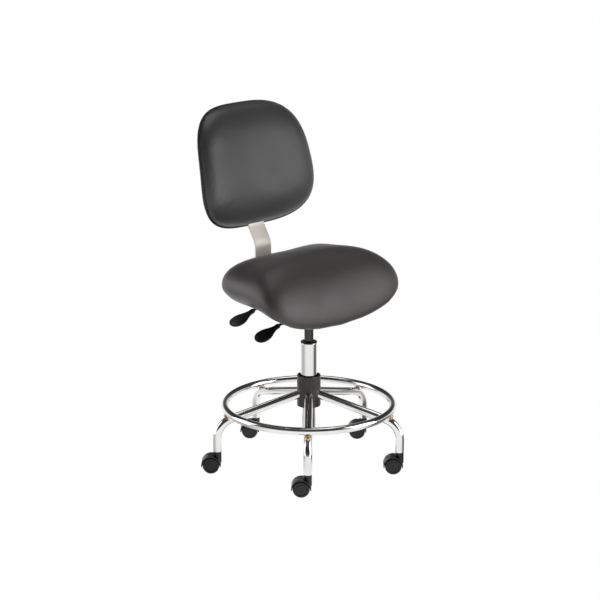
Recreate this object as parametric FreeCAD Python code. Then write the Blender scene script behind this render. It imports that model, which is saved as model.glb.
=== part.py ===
import FreeCAD, Part
import math
import os

from FreeCAD import Placement, Rotation, Vector

# Drafting chair on a five-leg tubular base with a foot ring.
# Millimetres, +Z up. The origin is on the floor under the column's axis.
# The sitter faces -Y, and +X is on the sitter's left.

# ---- base -------------------------------------------------------------
LEG_COUNT = 5
FIRST_LEG = -44.8           # turn from -Y towards +X, degrees
LEG_RADIUS = 12.7
LEG_WALL = 1.6
LEG_START_Z = 229.4         # height of the leg's line where it meets the column's axis
LEG_SLOPE = 0.2708          # fall per unit of reach
LEG_BEND = 60.5             # radius of the elbow
STEM_REACH = 287.7          # from the column's axis to each castor stem
LEG_END_Z = 66.0

RING_REACH = 254.0
RING_TUBE = 11.6
RING_Z = 185.8

HUB_LOW, HUB_HIGH = 184.0, 280.0
HUB_RADIUS = 35.7
HUB_WALL = 3.6

COLUMN_RADIUS = 25.0
COLUMN_TOP = 382.0
COLUMN_FOOT = 104.0
COLUMN_FOOT_RADIUS = 20.5
COLUMN_SHOULDER = 200.0     # below this the column is reduced to its foot
COLUMN_WALL = 1.6
BUSH_LOW = 302.0
BUSH_COLLAR = 4.0

# ---- gas lift ---------------------------------------------------------
GAS_RADIUS = 14.0
GAS_LOW = 225.0
GAS_TAPER_Z = 474.0
GAS_TOP = 508.0
GAS_TOP_RADIUS = 12.9
ROD_RADIUS = 5.0
PISTON_Z = 318.0
RUNNING = 0.05              # radial clearance of a shaft that turns or slides

# ---- castors ----------------------------------------------------------
TRAIL_TURN = 135.0          # direction each castor trails, degrees from +X towards +Y
TRAIL = 19.0
WHEEL_RADIUS = 25.0
WHEEL_INNER, WHEEL_OUTER = 2.8, 21.4
HOOD_RADIUS = 29.5
HOOD_LOW = 22.0             # the hood is open below this
STEM_RADIUS = 5.5
STEM_LOW, STEM_TOP = 47.0, 97.0
AXLE_RADIUS = 3.0

# ---- seat -------------------------------------------------------------
SEAT_Y = 17.0               # centre of the seat, behind the column's axis
SEAT_Z = 535.0              # height of the widest line at the centre
SEAT_HALF_WIDTH = 249.0
SEAT_FRONT, SEAT_REAR = 169.0, 171.0
SEAT_POWER = 6.0            # squareness of the outline
SEAT_TAPER = 0.13           # wider towards the front
SEAT_CROWN, SEAT_CROWN_POWER = 114.0, 2.9
SEAT_BELLY, SEAT_BELLY_POWER = 53.0, 4.0
SIDE_BELLY = 22.0           # how much deeper the belly is at the sides
SIDE_SAG = 14.0             # how far the sides' rim hangs below the seat board
SEAT_FRONT_DROP, SEAT_REAR_DROP, SEAT_SIDE_RISE = 18.8, 2.1, 7.0
BOARD_Z, BOARD_THICK = 524.0, 12.0
BOARD_HALF_WIDTH, BOARD_HALF_DEPTH = 205.0, 128.0

# ---- tilt mechanism ---------------------------------------------------
PLATE_HALF, PLATE_THICK = 95.0, 4.0
HOUSING_HALF = 45.0
HOUSING_LOW = 472.0
HOUSING_FRONT, HOUSING_REAR = -75.0, 88.0
SHEET = 3.0
HINGE_Y, HINGE_Z = 62.0, 490.0
LEVER_PIVOT_X = -30.0
HEIGHT_LEVER_Y, HEIGHT_LEVER_Z = -56.0, 483.0
TILT_LEVER_Y, TILT_LEVER_Z = 52.0, 507.0
LEVER_ROD = 4.0
GRIP_START_X = -170.0
GRIP_LENGTH = 100.0
GRIP_DROOP = 17.5           # degrees below level

# ---- back -------------------------------------------------------------
BAR_WIDTH, BAR_THICK = 63.5, 6.35
BAR_Z = HINGE_Z + 10.5
BAR_Y = 200.0
BAR_KINK_Z = 655.0
BACK_Y, BACK_Z = 255.4, 892.1
BACK_TILT = 12.43
BACK_HALF_WIDTH, BACK_HALF_HEIGHT = 222.9, 185.8
BACK_POWER = 3.26
BACK_TAPER = -0.08          # wider towards the bottom
BACK_HOLLOW, BACK_LUMBAR = 5.92, 6.27
BACK_CUSHION, BACK_SHELL = 46.9, 29.8
SHELL_WALL = 3.0
PIPING = 3.2
SEAM_GAP = 0.3              # between the cushion and the shell
BAR_OFFSET = -18.0          # bar's middle, behind the back's seam line

X_AXIS, Y_AXIS, Z_AXIS = Vector(1, 0, 0), Vector(0, 1, 0), Vector(0, 0, 1)


def save(name, shape):
    shape.exportStep("parts/" + name + ".step")


def rod(radius, length, base, direction=Z_AXIS):
    return Part.makeCylinder(radius, length, base, direction)


def tube(outer, inner, length, base, direction=Z_AXIS):
    return rod(outer, length, base, direction).cut(rod(inner, length, base, direction))


def block(low, high):
    size = [top - bottom for bottom, top in zip(low, high)]
    return Part.makeBox(size[0], size[1], size[2], Vector(*low))


def spun(points):
    """Solid of revolution about +Z from (radius, height) points."""
    corners = [Vector(radius, 0, height) for radius, height in points]
    face = Part.Face(Part.makePolygon(corners + corners[:1]))
    return face.revolve(Vector(0, 0, 0), Z_AXIS, 360)


def rounded_path(points, radii):
    """Straight runs joined by tangent arcs, one radius for each inner corner."""
    edges, start = [], points[0]
    for corner, after, radius in zip(points[1:-1], points[2:], radii):
        came = (corner - start).normalize()
        goes = (after - corner).normalize()
        turn = came.getAngle(goes)
        back_off = radius * math.tan(turn / 2)
        enter, leave = corner - came * back_off, corner + goes * back_off
        inward = (goes - came).normalize()
        centre = corner + inward * (radius / math.cos(turn / 2))
        edges.append(Part.LineSegment(start, enter).toShape())
        edges.append(Part.Arc(enter, centre - inward * radius, leave).toShape())
        start = leave
    edges.append(Part.LineSegment(start, points[-1]).toShape())
    return Part.Wire(edges)


def swept_disc(path, radius, start, direction):
    disc = Part.Face(Part.Wire(Part.makeCircle(radius, start, direction)))
    return path.makePipe(disc)


def leg_direction(index):
    angle = math.radians(FIRST_LEG + index * 360 / LEG_COUNT)
    return Vector(math.sin(angle), -math.cos(angle), 0)


# ---- base -------------------------------------------------------------
def leg_solid(index, radius, reach_in=22.0):
    """A leg from inside the hub, down its slope, round the elbow to its open end."""
    out = leg_direction(index)
    start = out * reach_in + Z_AXIS * (LEG_START_Z - LEG_SLOPE * reach_in)
    elbow = out * STEM_REACH + Z_AXIS * (LEG_START_Z - LEG_SLOPE * STEM_REACH)
    end = out * STEM_REACH + Z_AXIS * LEG_END_Z
    path = rounded_path([start, elbow, end], [LEG_BEND])
    return swept_disc(path, radius, start, elbow - start)


def column_profile():
    return spun([(0, COLUMN_FOOT), (COLUMN_FOOT_RADIUS, COLUMN_FOOT), (COLUMN_FOOT_RADIUS, COLUMN_SHOULDER),
                 (COLUMN_RADIUS, COLUMN_SHOULDER + 14), (COLUMN_RADIUS, COLUMN_TOP), (0, COLUMN_TOP)])


def make_base():
    core_radius = HUB_RADIUS - HUB_WALL
    solid_legs = [leg_solid(i, LEG_RADIUS) for i in range(LEG_COUNT)]
    core = rod(core_radius, HUB_HIGH - HUB_LOW - 8, Vector(0, 0, HUB_LOW + 2)).cut(column_profile())
    cover = tube(HUB_RADIUS, core_radius, HUB_HIGH - HUB_LOW, Vector(0, 0, HUB_LOW))
    cover = cover.makeChamfer(1.2, [e for e in cover.Edges if e.BoundBox.ZMin > HUB_HIGH - 1
                                    and e.BoundBox.XMax > HUB_RADIUS - 0.5])
    for leg in solid_legs:
        cover = cover.cut(leg)
    save("hub_core", core)
    save("hub_cover", cover)

    ring = Part.makeTorus(RING_REACH, RING_TUBE, Vector(0, 0, RING_Z))
    save("foot_ring", ring.cut(Part.makeTorus(RING_REACH, RING_TUBE - LEG_WALL, Vector(0, 0, RING_Z))))
    sockets, brazes = [], []
    for i, solid_leg in enumerate(solid_legs):
        hollow = solid_leg.cut(leg_solid(i, LEG_RADIUS - LEG_WALL, 10.0))
        save("leg_%d" % (i + 1), hollow.cut(rod(core_radius, 120, Vector(0, 0, 180))))
        foot = leg_direction(i) * STEM_REACH + Z_AXIS * LEG_END_Z
        sockets.append(tube(LEG_RADIUS - LEG_WALL, STEM_RADIUS + RUNNING, STEM_TOP - LEG_END_Z + 3, foot))
        brazes.append(make_braze(i, solid_leg, ring))
    save("stem_sockets", Part.makeCompound(sockets))
    save("ring_brazes", Part.makeCompound(brazes))

    inside = spun([(0, COLUMN_FOOT + 8), (COLUMN_FOOT_RADIUS - COLUMN_WALL, COLUMN_FOOT + 8),
                   (COLUMN_FOOT_RADIUS - COLUMN_WALL, COLUMN_SHOULDER + 1),
                   (COLUMN_RADIUS - COLUMN_WALL, COLUMN_SHOULDER + 15),
                   (COLUMN_RADIUS - COLUMN_WALL, COLUMN_TOP + 1), (0, COLUMN_TOP + 1)])
    column = column_profile().cut(inside)
    column = column.cut(rod(ROD_RADIUS + RUNNING, 20, Vector(0, 0, COLUMN_FOOT - 2)))
    save("column_tube", column)
    bore = GAS_RADIUS + RUNNING
    bush_radius = COLUMN_RADIUS - COLUMN_WALL
    save("column_bush", spun([(bore, BUSH_LOW), (bush_radius, BUSH_LOW), (bush_radius, COLUMN_TOP),
                              (COLUMN_RADIUS, COLUMN_TOP), (COLUMN_RADIUS, COLUMN_TOP + 2.6),
                              (COLUMN_RADIUS - 2, COLUMN_TOP + BUSH_COLLAR),
                              (bore, COLUMN_TOP + BUSH_COLLAR)]))
    save("thrust_bearing", tube(16.0, ROD_RADIUS + RUNNING, 8.0, Vector(0, 0, COLUMN_FOOT + 8)))


def make_braze(index, leg, ring):
    """The brazed saddle where the ring rests on a leg's elbow."""
    out = leg_direction(index)
    bend_start = STEM_REACH - LEG_BEND
    turn = math.atan(LEG_SLOPE)
    elbow_z = LEG_START_Z - LEG_SLOPE * STEM_REACH
    centre_z = elbow_z - LEG_BEND * math.tan((math.pi / 2 - turn) / 2)
    centre = out * bend_start + Z_AXIS * centre_z
    middle = out * RING_REACH + Z_AXIS * RING_Z
    normal = (middle - centre).normalize()
    touch = centre + normal * (LEG_BEND + LEG_RADIUS)
    saddle = rod(8.5, 5.0, touch - normal * 2.5, normal)
    return saddle.cut(leg).cut(ring)


# ---- castors ----------------------------------------------------------
def make_castor(index):
    """One twin-wheel castor, modelled with its stem on the Z axis and trailing along +X."""
    foot = leg_direction(index) * STEM_REACH
    place = Placement(foot, Rotation(Z_AXIS, TRAIL_TURN))
    hub = Vector(TRAIL, 0, WHEEL_RADIUS)
    label = "castor_%d_" % (index + 1)

    stem = rod(STEM_RADIUS, STEM_TOP - STEM_LOW, Vector(0, 0, STEM_LOW))
    boss = rod(12.2, 34, Vector(0, 0, LEG_END_Z - 0.4 - 34))
    drum = rod(HOOD_RADIUS, 2 * WHEEL_OUTER, hub - Y_AXIS * WHEEL_OUTER, Y_AXIS)
    hood = boss.fuse(drum)
    for side in (-1, 1):
        pocket = rod(WHEEL_RADIUS + 1.2, 30, hub + Y_AXIS * (side * (WHEEL_INNER - 0.5)), Y_AXIS * side)
        hood = hood.cut(pocket)
    hood = hood.cut(block((-20, -30, -10), (60, 30, HOOD_LOW)))
    web = rod(13.0, 2 * (WHEEL_INNER - 0.5), hub - Y_AXIS * (WHEEL_INNER - 0.5), Y_AXIS)
    hood = hood.fuse(web).removeSplitter()
    axle = rod(AXLE_RADIUS, 36, hub - Y_AXIS * 18, Y_AXIS)
    hood = hood.cut(stem).cut(axle)

    pieces = {"stem": stem, "hood": hood, "axle": axle,
              "wheel_left": make_wheel(hub, 1), "wheel_right": make_wheel(hub, -1)}
    for name, shape in pieces.items():
        shape.Placement = place.multiply(shape.Placement)
        save(label + name, shape)


def make_wheel(hub, side):
    """A moulded wheel with rounded shoulders, a ring groove in its face and a blind bore."""
    r = WHEEL_RADIUS
    wide = WHEEL_OUTER - WHEEL_INNER
    profile = [(AXLE_RADIUS + RUNNING, 0), (r - 2.5, 0), (r - 0.7, 0.7), (r, 2.5), (r, wide - 3.5),
               (r - 0.9, wide - 1.3), (r - 3.2, wide), (18.0, wide), (17.4, wide - 0.9),
               (15.8, wide - 0.9), (15.2, wide), (0, wide), (0, 16.0), (AXLE_RADIUS + RUNNING, 16.0)]
    wheel = spun(profile)
    turn = Rotation(X_AXIS, -90 * side)
    wheel.Placement = Placement(hub + Y_AXIS * (side * WHEEL_INNER), turn)
    return wheel


# ---- gas lift ---------------------------------------------------------
def make_lift():
    piston_rod = rod(ROD_RADIUS, PISTON_Z + 10 - (COLUMN_FOOT - 4), Vector(0, 0, COLUMN_FOOT - 4))
    save("piston_rod", piston_rod)
    save("piston", tube(GAS_RADIUS - 1.6 - RUNNING, ROD_RADIUS, 8.0, Vector(0, 0, PISTON_Z)))
    save("rod_clip", tube(9.0, ROD_RADIUS, 2.0, Vector(0, 0, COLUMN_FOOT - 2.5)))
    save("gas_tube", gas_outer().cut(rod(GAS_RADIUS - 1.6, GAS_TAPER_Z + 16 - GAS_LOW - 7,
                                         Vector(0, 0, GAS_LOW + 7)))
         .cut(rod(ROD_RADIUS + RUNNING, 10, Vector(0, 0, GAS_LOW - 1))))


def gas_outer():
    return spun([(0, GAS_LOW), (GAS_RADIUS, GAS_LOW), (GAS_RADIUS, GAS_TAPER_Z),
                 (GAS_TOP_RADIUS, GAS_TOP), (0, GAS_TOP)])


# ---- tilt mechanism ---------------------------------------------------
def bolt(radius, head_radius, head_high, length, head_base, direction):
    head = rod(head_radius, head_high, head_base, direction)
    return head.fuse(rod(radius, length, head_base, direction)).removeSplitter()


def seat_bolt_places():
    return [Vector(x, y, BOARD_Z - PLATE_THICK) for x in (-76, 76) for y in (-76, 76)]


def make_mechanism():
    plate = block((-PLATE_HALF, -PLATE_HALF, BOARD_Z - PLATE_THICK), (PLATE_HALF, PLATE_HALF, BOARD_Z))
    low, high = (-HOUSING_HALF, HOUSING_FRONT, HOUSING_LOW), (HOUSING_HALF, HOUSING_REAR, BOARD_Z - 2)
    shell = block(low, high)
    shell = shell.cut(block((-HOUSING_HALF + SHEET, HOUSING_FRONT + SHEET, 0),
                            (HOUSING_HALF - SHEET, HOUSING_REAR + 10, BOARD_Z - PLATE_THICK)))
    web = block((-HOUSING_HALF + 1, -6, HOUSING_LOW + 4), (HOUSING_HALF - 1, 6, BOARD_Z - PLATE_THICK))
    socket = rod(19.0, BOARD_Z - PLATE_THICK - HOUSING_LOW - 2, Vector(0, 0, HOUSING_LOW + 2))
    housing = plate.fuse([shell, web, socket]).removeSplitter()
    cavity = gas_outer().fuse(rod(GAS_TOP_RADIUS, 12.5, Vector(0, 0, GAS_TOP - 0.5)))
    housing = housing.cut(cavity)
    hinge_pin = rod(6.0, 2 * HOUSING_HALF + 4, Vector(-HOUSING_HALF - 2, HINGE_Y, HINGE_Z), X_AXIS)
    housing = housing.cut(hinge_pin)
    pivots = []
    for y, z in ((HEIGHT_LEVER_Y, HEIGHT_LEVER_Z), (TILT_LEVER_Y, TILT_LEVER_Z)):
        window = block((-HOUSING_HALF - 5, y - 7, z - 9), (-HOUSING_HALF + SHEET + 1, y + 7, z + 10))
        housing = housing.cut(window)
        ear = block((LEVER_PIVOT_X - 9, y + 6, z - 8), (LEVER_PIVOT_X + 9, y + 9, BOARD_Z - PLATE_THICK))
        housing = housing.fuse(ear)
        pin = rod(3.0, 18, Vector(LEVER_PIVOT_X, y - 8, z), Y_AXIS)
        housing = housing.cut(pin)
        pivots.append(pin)
    bolts = []
    for spot in seat_bolt_places():
        bolts.append(bolt(3.0, 5.5, 4.0, 14.0, spot - Z_AXIS * 4, Z_AXIS))
        housing = housing.cut(rod(3.0, 10, spot - Z_AXIS * 2))
    save("mechanism_housing", housing)
    save("pivot_pins", Part.makeCompound([hinge_pin] + pivots))
    save("seat_bolts", Part.makeCompound(bolts))
    save("tilt_spring", tube(10.0, 6.3, 9.0, Vector(32.0, HINGE_Y, HINGE_Z), X_AXIS))

    barrel = rod(11.0, 42, Vector(-21, HINGE_Y, HINGE_Z), X_AXIS)
    top = BAR_Z - BAR_THICK / 2
    arm = block((-31, HINGE_Y + 4, top - 7), (31, 146, top))
    hinge_plate = barrel.fuse(arm).removeSplitter().cut(
        rod(6.0 + RUNNING, 66, Vector(-33, HINGE_Y, HINGE_Z), X_AXIS))
    for spot in bar_bolt_places():
        hinge_plate = hinge_plate.cut(rod(4.0, 30, spot - Z_AXIS * 25))
    save("hinge_plate", hinge_plate)


def make_lever(name, y, z):
    """A steel rod on its pivot eye, and the flat moulded grip that droops from its outer end."""
    eye = rod(7.0, 9.0, Vector(LEVER_PIVOT_X, y - 4.5, z), Y_AXIS)
    bend = Vector(GRIP_START_X, y, z)
    droop = math.radians(GRIP_DROOP)
    out = Vector(-math.cos(droop), 0, -math.sin(droop))
    path = rounded_path([Vector(LEVER_PIVOT_X - 3, y, z), bend, bend + out * 40], [14.0])
    lever = eye.fuse(swept_disc(path, LEVER_ROD, Vector(LEVER_PIVOT_X - 3, y, z), X_AXIS * -1))
    lever = lever.removeSplitter().cut(rod(3.0 + RUNNING, 20, Vector(LEVER_PIVOT_X, y - 10, z), Y_AXIS))

    across, lift = Y_AXIS, Vector(-math.sin(droop), 0, math.cos(droop))
    neck, palm = 8.0, 17.0
    outline = [(6.0, neck * 0.8), (30.0, neck), (55.0, palm * 0.9), (78.0, palm), (94.0, palm * 0.72)]
    near = [bend + out * reach + across * half for reach, half in outline]
    far = [bend + out * reach - across * half for reach, half in reversed(outline)]
    curve = Part.BSplineCurve()
    curve.interpolate(Points=near + [bend + out * GRIP_LENGTH] + far)
    edges = [curve.toShape(), Part.LineSegment(far[-1], near[0]).toShape()]
    face = Part.Face(Part.Wire(edges))
    face.translate(lift * -6.0)
    core = swept_disc(path, LEVER_ROD, Vector(LEVER_PIVOT_X - 3, y, z), X_AXIS * -1)
    grip = face.extrude(lift * 12.0).cut(core)
    save(name + "_lever", lever)
    save(name + "_grip", grip)


def bar_bolt_places():
    return [Vector(0, y, BAR_Z + BAR_THICK / 2) for y in (98, 128)]


# ---- seat -------------------------------------------------------------
def seat_reach(x, s):
    """Where a point of the seat's plan lies: 0 at the centre, 1 on the outline."""
    across = abs(x) / (SEAT_HALF_WIDTH * (1 + SEAT_TAPER * s))
    return (across ** SEAT_POWER + abs(s) ** SEAT_POWER) ** (1 / SEAT_POWER)


def eased(t):
    """A smooth step from 0 to 1."""
    t = min(1.0, max(0.0, t))
    return t * t * (3 - 2 * t)


def seat_point(x, s, top):
    """A point on the cushion; s runs from -1 at the rear edge to 1 at the front edge."""
    forward = s * (SEAT_FRONT if s > 0 else SEAT_REAR)
    k = min(1.0, seat_reach(x, s))
    drop = SEAT_FRONT_DROP if s > 0 else SEAT_REAR_DROP
    middle = SEAT_Z - drop * (forward / 100) ** 2 + SEAT_SIDE_RISE * (x / 100) ** 2
    if top:
        height = middle + SEAT_CROWN * math.sqrt(1 - k ** SEAT_CROWN_POWER)
    else:
        lip = eased((forward - 95) / 60)
        side = eased((abs(x) - 90) / 60)
        depth = SEAT_BELLY + SIDE_BELLY * side * (1 - lip)
        belly = middle - depth * math.sqrt(1 - k ** SEAT_BELLY_POWER)
        rim = BOARD_Z - SIDE_SAG * side * eased((k - 0.78) / 0.12)
        height = belly * lip + max(belly, rim) * (1 - lip)
    return Vector(x, SEAT_Y - forward, height)


def seat_edge(x, rear):
    """The s of the outline at this x, by halving, in front of or behind the widest station."""
    inside, outside = 0.62, (-1.0 if rear else 1.0)
    for _ in range(40):
        middle = (inside + outside) / 2
        if seat_reach(x, middle) < 1:
            inside = middle
        else:
            outside = middle
    return inside


def seat_section(x):
    s_rear, s_front = seat_edge(x, True), seat_edge(x, False)
    points, count = [], 22
    for i in range(count):
        angle = 2 * math.pi * i / count
        s = (s_rear + s_front) / 2 + (s_front - s_rear) / 2 * math.cos(angle)
        points.append(seat_point(x, s, top=math.sin(angle) >= 0))
    curve = Part.BSplineCurve()
    curve.interpolate(Points=points, PeriodicFlag=True)
    return Part.Wire(curve.toShape())


def make_seat():
    half = 264.0
    stations = [half * math.sin(math.radians(90 * i / 6)) for i in range(-6, 7)]
    cushion = Part.makeLoft([seat_section(x) for x in stations], True, False)
    corner = 60.0
    board = block((-BOARD_HALF_WIDTH, SEAT_Y - BOARD_HALF_DEPTH, BOARD_Z),
                  (BOARD_HALF_WIDTH, SEAT_Y + BOARD_HALF_DEPTH, BOARD_Z + BOARD_THICK))
    uprights = [e for e in board.Edges if abs(e.Vertexes[0].Z - e.Vertexes[-1].Z) > 1]
    board = board.makeFillet(corner, uprights)
    cushion = cushion.cut(board)
    clear = block((-BOARD_HALF_WIDTH + 10, SEAT_Y - BOARD_HALF_DEPTH + 10, BOARD_Z - 60),
                  (BOARD_HALF_WIDTH - 10, SEAT_Y + BOARD_HALF_DEPTH - 10, BOARD_Z + 1))
    cushion = cushion.cut(clear)
    for spot in seat_bolt_places():
        board = board.cut(rod(3.0, 20, spot - Z_AXIS * 5))
    save("seat_board", board)
    save("seat_cushion", max(cushion.Solids, key=lambda solid: solid.Volume))


# ---- back -------------------------------------------------------------
def back_point(x, up, forward):
    """A point from the back's own centre: across, up its plane, and forward of it."""
    tilt = math.radians(BACK_TILT)
    return Vector(x, BACK_Y + up * math.sin(tilt) - forward * math.cos(tilt),
                  BACK_Z + up * math.cos(tilt) + forward * math.sin(tilt))


def back_reach(x, up, half_width, half_height):
    across = abs(x) / (half_width * (1 + BACK_TAPER * up / half_height))
    return (across ** BACK_POWER + abs(up / half_height) ** BACK_POWER) ** (1 / BACK_POWER)


def back_edge(x, sign, half_width, half_height):
    inside, outside = -0.35 * half_height, sign * half_height
    for _ in range(40):
        middle = (inside + outside) / 2
        if back_reach(x, middle, half_width, half_height) < 1:
            inside = middle
        else:
            outside = middle
    return inside


def seam_offset(x, up):
    return BACK_HOLLOW * (x / 100) ** 2 - BACK_LUMBAR * (up / 100) ** 2


def back_face_curve(x, low, high, half_width, half_height, depth, power):
    """Curve from the bottom to the top of the outline, at one x and one depth."""
    points, count = [], 13
    for i in range(count):
        up = (low + high) / 2 - (high - low) / 2 * math.cos(math.pi * i / (count - 1))
        k = min(1.0, back_reach(x, up, half_width, half_height))
        if i in (0, count - 1):
            k = 1.0
        bulge = depth * math.sqrt(1 - k ** power) if power else depth
        points.append(back_point(x, up, seam_offset(x, up) + bulge))
    curve = Part.BSplineCurve()
    curve.interpolate(Points=points)
    return curve


def back_section(x, half_width, half_height, front, rear, power):
    """Closed section across the back's thickness, at one x. Power 0 keeps both faces flat."""
    low = back_edge(x, -1, half_width, half_height)
    high = back_edge(x, 1, half_width, half_height)
    sizes = (x, low, high, half_width, half_height)
    fore, aft = back_face_curve(*sizes, front, power), back_face_curve(*sizes, rear, power)
    edges = [fore.toShape(), aft.toShape()]
    if not power:
        edges.insert(1, Part.LineSegment(fore.EndPoint, aft.EndPoint).toShape())
        edges.append(Part.LineSegment(aft.StartPoint, fore.StartPoint).toShape())
    return Part.Wire(Part.__sortEdges__(edges))


def back_solid(inset, front, rear, power):
    """Solid between two depths of the back, with its outline drawn in by inset."""
    half_width, half_height = BACK_HALF_WIDTH - inset, BACK_HALF_HEIGHT - inset
    half = half_width * 1.015
    stations = [half * math.sin(math.radians(90 * i / 6)) for i in range(-6, 7)]
    sections = [back_section(x, half_width, half_height, front, rear, power) for x in stations]
    return Part.makeLoft(sections, True, False)


def back_block(low, high):
    """A box given in the back's own directions: across, up and forward."""
    shape = block(low, high)
    place = Placement(Vector(0, BACK_Y, BACK_Z), Rotation(X_AXIS, 90 - BACK_TILT))
    shape.Placement = place.multiply(shape.Placement)
    return shape


def make_bar():
    up_end = back_point(0, 25, BAR_OFFSET)
    knee = back_point(0, -186, BAR_OFFSET)
    points = [Vector(0, 78, BAR_Z), Vector(0, BAR_Y, BAR_Z), Vector(0, BAR_Y, BAR_KINK_Z), knee, up_end]
    path = rounded_path(points, [45.0, 60.0, 60.0])
    half_w, half_t = BAR_WIDTH / 2, BAR_THICK / 2
    corners = [Vector(-half_w, 78, BAR_Z - half_t), Vector(half_w, 78, BAR_Z - half_t),
               Vector(half_w, 78, BAR_Z + half_t), Vector(-half_w, 78, BAR_Z + half_t)]
    bar = path.makePipe(Part.Face(Part.makePolygon(corners + corners[:1])))
    bolts = []
    for spot in bar_bolt_places():
        bar = bar.cut(rod(4.0, 30, spot - Z_AXIS * 20))
        bolts.append(bolt(4.0, 7.0, 5.0, 18.0, spot + Z_AXIS * 5, Z_AXIS * -1))
    save("back_bar", bar)
    save("bar_bolts", Part.makeCompound(bolts))


def make_back():
    slot = back_block((-35.5, -260, BAR_OFFSET - 8), (35.5, -120, BAR_OFFSET + 8))
    pocket = back_block((-66, -175, BAR_OFFSET - 40), (66, 60, BAR_OFFSET + 9))
    cushion = back_solid(PIPING + SEAM_GAP / 2, BACK_CUSHION, 0.0, 4.0).cut(slot).cut(pocket)
    shell = back_solid(PIPING + SEAM_GAP, 0.0, -BACK_SHELL, 8.0)
    hollow = back_solid(PIPING + SHELL_WALL, 1.0, -BACK_SHELL + SHELL_WALL, 8.0)
    ahead = back_point(0, 0, 1) - back_point(0, 0, 0)
    hollow.translate(ahead)
    shell = shell.cut(hollow).cut(slot)
    shell.translate(ahead * -SEAM_GAP)
    band = back_solid(0.0, 3.0, -3.0, 0).cut(back_solid(PIPING, 3.9, -3.9, 0)).cut(slot)
    save("back_cushion", max(cushion.Solids, key=lambda solid: solid.Volume))
    save("back_shell", max(shell.Solids, key=lambda solid: solid.Volume))
    save("back_piping", Part.makeCompound(band.Solids))

    gap = 0.15
    half_w, half_t = BAR_WIDTH / 2 + gap, BAR_THICK / 2 + gap
    sleeve = back_block((-38, -130, BAR_OFFSET - 6.5), (38, -25, BAR_OFFSET + 6.5))
    flange = back_block((-62, -130, BAR_OFFSET + 6.4), (62, -25, BAR_OFFSET + 8.9))
    carriage = sleeve.fuse(flange).cut(
        back_block((-half_w, -200, BAR_OFFSET - half_t), (half_w, 100, BAR_OFFSET + half_t)))
    screws = []
    for x in (-52, 52):
        for up in (-115, -40):
            base = back_point(x, up, BAR_OFFSET + 3.4)
            direction = back_point(x, up, 1) - back_point(x, up, 0)
            screws.append(bolt(2.5, 4.5, 3.0, 7.5, base, direction))
            carriage = carriage.cut(rod(2.5, 20, base, direction))
    save("back_carriage", carriage)
    save("back_screws", Part.makeCompound(screws))


make_base()
for castor in range(LEG_COUNT):
    make_castor(castor)
make_lift()
make_mechanism()
make_lever("height", HEIGHT_LEVER_Y, HEIGHT_LEVER_Z)
make_lever("tilt", TILT_LEVER_Y, TILT_LEVER_Z)
make_seat()
make_bar()
make_back()
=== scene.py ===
import contextlib
import math

import bmesh
import bpy
from mathutils import Matrix, Vector


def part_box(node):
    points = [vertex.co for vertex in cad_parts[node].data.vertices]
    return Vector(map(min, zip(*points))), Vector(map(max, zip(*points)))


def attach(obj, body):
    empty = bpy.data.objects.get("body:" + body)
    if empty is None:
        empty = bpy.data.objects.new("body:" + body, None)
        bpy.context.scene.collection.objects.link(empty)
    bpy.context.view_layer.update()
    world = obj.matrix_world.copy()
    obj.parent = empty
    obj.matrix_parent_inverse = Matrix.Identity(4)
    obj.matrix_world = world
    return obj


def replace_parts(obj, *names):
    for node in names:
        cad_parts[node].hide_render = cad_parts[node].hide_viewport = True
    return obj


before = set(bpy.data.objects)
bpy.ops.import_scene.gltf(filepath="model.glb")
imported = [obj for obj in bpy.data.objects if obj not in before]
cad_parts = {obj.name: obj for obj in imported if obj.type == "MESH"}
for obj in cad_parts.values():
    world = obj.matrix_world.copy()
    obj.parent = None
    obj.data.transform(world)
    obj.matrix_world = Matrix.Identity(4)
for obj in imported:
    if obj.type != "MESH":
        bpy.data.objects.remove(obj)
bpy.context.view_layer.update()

bl_info = {
    "name": "Drafting Chair Maker",
    "version": (1, 0, 0),
    "blender": (4, 5, 0),
    "location": "3D View > Sidebar > Drafting Chair",
    "description": "Upholsters and finishes a drafting chair round its packed frame",
    "category": "Add Mesh",
}

MM = 0.001
LEG_COUNT = 5
SAME_POINT = 1e-6       # points closer than this, in metres, are merged


# ---- mesh helpers -------------------------------------------------------
def in_scene(name, data):
    """A new object in the scene that holds a mesh, a light or a camera."""
    thing = bpy.data.objects.new(name, data)
    bpy.context.scene.collection.objects.link(thing)
    return thing


def shade_smooth(mesh):
    mesh.polygons.foreach_set("use_smooth", [True] * len(mesh.polygons))


def new_piece(name, points, faces, smooth=True):
    """A mesh object in the scene from points in metres and faces of their indices."""
    mesh = bpy.data.meshes.new(name)
    mesh.from_pydata([tuple(p) for p in points], [], faces)
    if smooth:
        shade_smooth(mesh)
    mesh.update()
    return in_scene(name, mesh)


def finished_mesh(piece):
    """The piece's mesh with its modifiers applied."""
    return bpy.data.meshes.new_from_object(piece.evaluated_get(bpy.context.evaluated_depsgraph_get()))


@contextlib.contextmanager
def reshaping(piece):
    """Opens the piece's mesh for editing, and writes it back."""
    shape = bmesh.new()
    shape.from_mesh(piece.data)
    yield shape
    shape.to_mesh(piece.data)
    shape.free()


def face_outwards(piece, fill=False):
    """Merges doubles, closes holes if asked, then turns every face of a closed shell outwards."""
    with reshaping(piece) as shape:
        bmesh.ops.remove_doubles(shape, verts=shape.verts, dist=SAME_POINT)
        if fill:
            open_edges = [edge for edge in shape.edges if edge.is_boundary]
            bmesh.ops.holes_fill(shape, edges=open_edges, sides=0)
        bmesh.ops.recalc_face_normals(shape, faces=shape.faces)
    return piece


def ring_faces(rows, around, closed=False):
    """Four-sided faces between rows of points that each go once round."""
    faces = []
    for row in range(rows if closed else rows - 1):
        low, high = row * around, (row + 1) % rows * around
        for i in range(around):
            j = (i + 1) % around
            faces.append((low + i, low + j, high + j, high + i))
    return faces


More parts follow.
